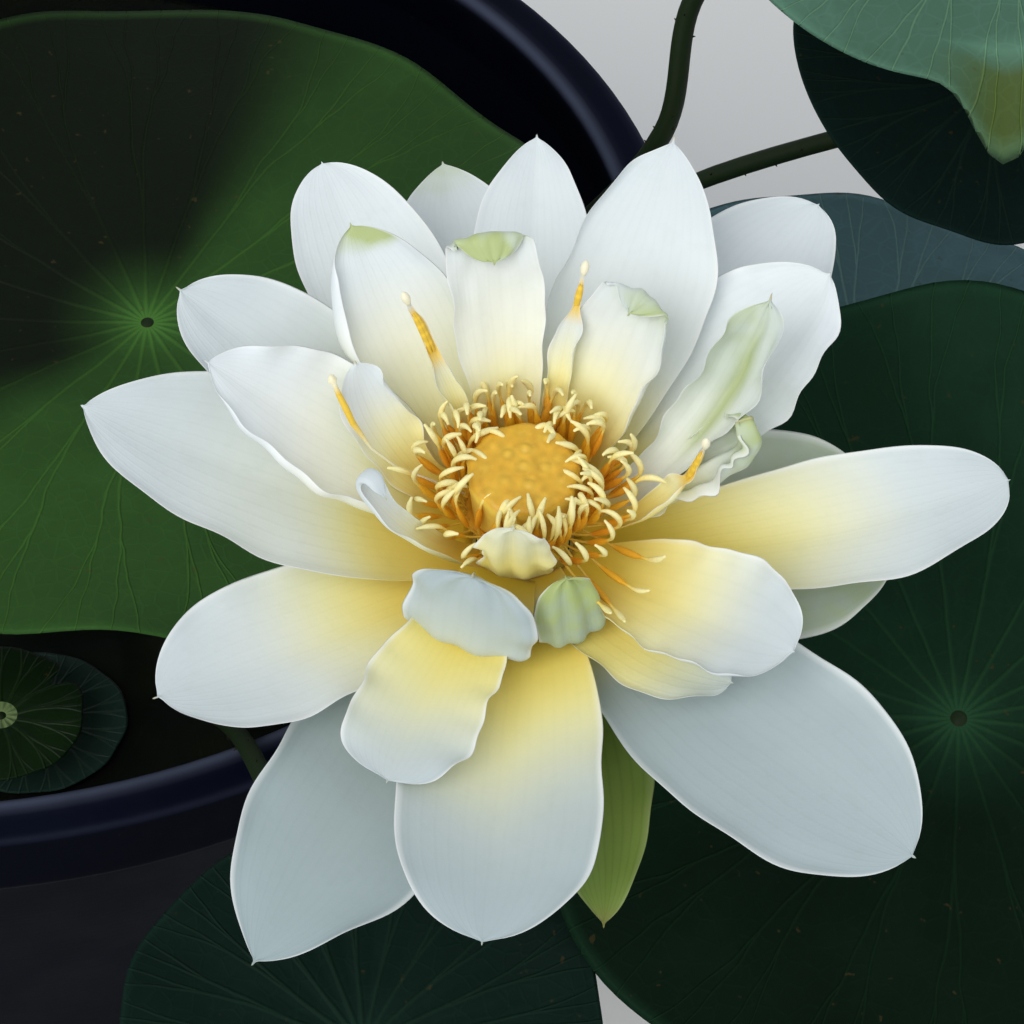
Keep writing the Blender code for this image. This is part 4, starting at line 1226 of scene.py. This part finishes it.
def make_bowl(made):
    wall = RIM_RADIUS - RIM_STEP
    band = BOWL_HEIGHT - RIM_BAND
    profile = rounded([
        (0.0, BOWL_WALL), (inner_radius(BOWL_WALL) - 0.004, BOWL_WALL),
        (inner_radius(BOWL_WALL + 0.004), BOWL_WALL + 0.004), (inner_radius(band), band),
        (RIM_RADIUS - LIP_WIDTH, BOWL_HEIGHT - 0.0010),
        (RIM_RADIUS - LIP_WIDTH + 0.001, BOWL_HEIGHT),
        (RIM_RADIUS - 0.0006, BOWL_HEIGHT), (RIM_RADIUS, BOWL_HEIGHT - 0.0010),
        (RIM_RADIUS, band + 0.0008), (RIM_RADIUS - 0.0010, band), (wall + 0.0006, band),
        (wall - 0.0004, band - 0.0008), (FOOT_RADIUS, 0.003), (FOOT_RADIUS - 0.003, 0.0),
        (FOOT_RADIUS - 0.010, 0.0), (FOOT_RADIUS - 0.0115, 0.0012), (0.0, 0.0012)], 0.0011)
    profile = divided(profile, 0.0018)

    def painter(point):
        mottle = 0.25 * noise.noise(point * 30)
        out = math.hypot(point.x, point.y)
        # Painted light: the rim's top face is painted lighter, and two thin lines along the rim, at the
        # inner shoulder and at the outer top edge, are painted highlights.
        colour = BOWL_NAVY * (2.6 if point.z > BOWL_HEIGHT - 0.0012 else 1.0) * (1 + mottle)
        inner = math.hypot(out - RIM_RADIUS + LIP_WIDTH - 0.0012, (point.z - BOWL_HEIGHT) * 1.3)
        outer = math.hypot(out - RIM_RADIUS, (point.z - BOWL_HEIGHT) * 1.3)
        share = 0.85 * math.exp(-(inner / 0.0016) ** 2) + 0.35 * math.exp(-(outer / 0.0012) ** 2)
        return np.clip(colour + (BOWL_PAINTED_HIGHLIGHT - colour) * share, 0, 1)

    def mover(radius, turn, height):
        wave = 0.00035 * math.sin(2 * turn + 0.7) + 0.0002 * math.sin(5 * turn)
        radius += wave * (height / BOWL_HEIGHT) - 0.0004 * (height / BOWL_HEIGHT)
        return around(radius, turn, height)

    return lathe("bowl", profile, 144, made, painter, mover)


def make_soil(made):
    low, corner = BOWL_WALL + GAP, BOWL_WALL + 0.006
    top = [(r, SOIL_TOP - 0.0012) for r in np.linspace(0.0, inner_radius(SOIL_TOP) - 0.0012, 40)]
    profile = top + [(inner_radius(SOIL_TOP - 0.006) - 0.0008, SOIL_TOP - 0.006),
                     (inner_radius(corner) - 0.0012, corner),
                     (inner_radius(low) - 0.006, low), (0.0, low)]

    def mover(radius, turn, height):
        x, y, height = around(radius, turn, height)
        if height > SOIL_TOP - 0.003:
            spot = Vector((x, y, 0.0))
            height += 0.0022 * noise.noise(spot * 45) + 0.0010 * noise.noise(spot * 160)
        return x, y, height

    return lathe("soil", profile, 120, made, lambda point: MUD, mover)


def make_water(made, stems):
    low = SOIL_TOP + 0.0016
    top = [(r, WATER_TOP) for r in np.linspace(0.0, inner_radius(WATER_TOP) - GAP, 60)]
    profile = top + [(inner_radius(low) - GAP, low), (0.0, low)]

    def mover(radius, turn, height):
        x, y, height = around(radius, turn, height)
        if height > WATER_TOP - 0.001:
            near = min(math.hypot(x - sx, y - sy) - sr for sx, sy, sr in stems)
            height += 0.0007 * math.exp(-max(near, 0.0) / 0.0016)
            wall = inner_radius(WATER_TOP) - radius
            height += 0.0006 * math.exp(-wall / 0.0018)
            height -= 0.0009
        return x, y, height

    return lathe("water", profile, 144, made, lambda point: POND, mover)


# ---------------------------------------------------------------- stage and camera
FLOOR_HALF = 6.0
SKY_COLOUR = (0.93, 0.96, 1.0, 1.0)
SKY_STRENGTH = 0.60
# name, strength, angular size in degrees, direction it comes from, tint
SUNS = (("key", 1.68, 50, (-0.42, -0.68, 0.66), (1.0, 0.99, 0.96)),
        ("fill", 0.22, 60, (0.7, -0.5, 0.5), (0.94, 0.97, 1.0)))

CAMERA_ELEVATION = math.radians(47)
CAMERA_DISTANCE = 0.700
CAMERA_LENS = 142.2421875           # mm, for a sensor of 36 mm
CAMERA_SHIFT = (-0.0107, 0.040)


def make_stage():
    """A pale paper floor, an even sky and two soft suns."""
    scene = bpy.context.scene
    scene.view_settings.view_transform = "Standard"
    mesh = bpy.data.meshes.new("floor")
    corners = ((-1, -1), (1, -1), (1, 1), (-1, 1))
    mesh.from_pydata([(x * FLOOR_HALF, y * FLOOR_HALF, 0) for x, y in corners], [], [(0, 1, 2, 3)])
    floor = bpy.data.objects.new("floor", mesh)
    scene.collection.objects.link(floor)
    n = Nodes("floor paper")
    n.finish(n.mix(n.noise(3, 2.0), (0.70, 0.71, 0.71), (0.74, 0.745, 0.74)), 0.9)
    mesh.materials.append(n.made)

    world = bpy.data.worlds.new("studio")
    scene.world = world
    world.use_nodes = True
    background = world.node_tree.nodes["Background"]
    background.inputs["Color"].default_value = SKY_COLOUR
    background.inputs["Strength"].default_value = SKY_STRENGTH

    for name, strength, spread, aim, tint in SUNS:
        lamp = bpy.data.lights.new(name, "SUN")
        lamp.energy = strength
        lamp.angle = math.radians(spread)
        lamp.color = tint
        item = bpy.data.objects.new(name, lamp)
        item.rotation_euler = Vector(aim).to_track_quat("Z", "Y").to_euler()
        scene.collection.objects.link(item)


def make_camera():
    """The camera looks along +Y, down at the flower."""
    away = Vector((0.0, -math.cos(CAMERA_ELEVATION), math.sin(CAMERA_ELEVATION)))
    lens = bpy.data.cameras.new("camera")
    lens.sensor_width = 36
    lens.lens = CAMERA_LENS
    lens.shift_x, lens.shift_y = CAMERA_SHIFT
    lens.clip_start = 0.01
    item = bpy.data.objects.new("camera", lens)
    item.location = HUB + away * CAMERA_DISTANCE
    item.rotation_euler = (math.pi / 2 - CAMERA_ELEVATION, 0.0, 0.0)
    bpy.context.scene.collection.objects.link(item)
    bpy.context.scene.camera = item


# ---------------------------------------------------------------- the whole plant
def main():
    make_camera()
    make_stage()

    petal_skin = petal_material("petal skin", 15, 0.035)
    inner_skin = petal_material("inner petal skin", 9, 0.05)
    sepal_skin = petal_material("sepal skin", 11, 0.35)
    for spec in PETALS:
        make_petal(spec, petal_skin, *PETAL_GRID, "petal_white")
    for spec in PETALOIDS:
        make_petal(spec, inner_skin, *PETALOID_GRID, "petaloid_cream")
    for spec in SEPALS:
        make_petal(spec, sepal_skin, *SEPAL_GRID, "sepal_green", sepal_paint, 0.35)
    make_receptacle(grain_material("receptacle flesh", 0.35, 0.00012, 500))
    make_stamens(grain_material("stamen flesh", 0.40, 0.00005, 1500))

    stalk_skin = stalk_material()
    make_stalk("flower_stalk", flower_route(), STALK_RADIUS, stalk_skin, 3)
    for index, spec in enumerate(LEAVES):
        shine = LEAF_SHINE.get(spec.name, 0.15)
        make_leaf(spec, leaf_material(spec, 21, 0.40, 0.52, shine))
        make_stalk(spec.name + "_stalk", leaf_route(spec), spec.stalk * MM, stalk_skin, 20 + index)
    for index, spec in enumerate(PADS):
        make_leaf(spec, leaf_material(spec, 13, 0.60, 0.35, 0.2), 24, 96, 40 + 150 * index)
        make_stalk(spec.name + "_stalk", leaf_route(spec), spec.stalk * MM, stalk_skin, 40 + index)

    make_bowl(plastic_material())
    make_soil(mud_material())
    stems = [(FLOWER_ROOT, STALK_RADIUS)] + [(leaf.root, leaf.stalk * MM) for leaf in LEAVES + PADS]
    make_water(water_material(), [(x * MM, y * MM, radius) for (x, y), radius in stems])


main()
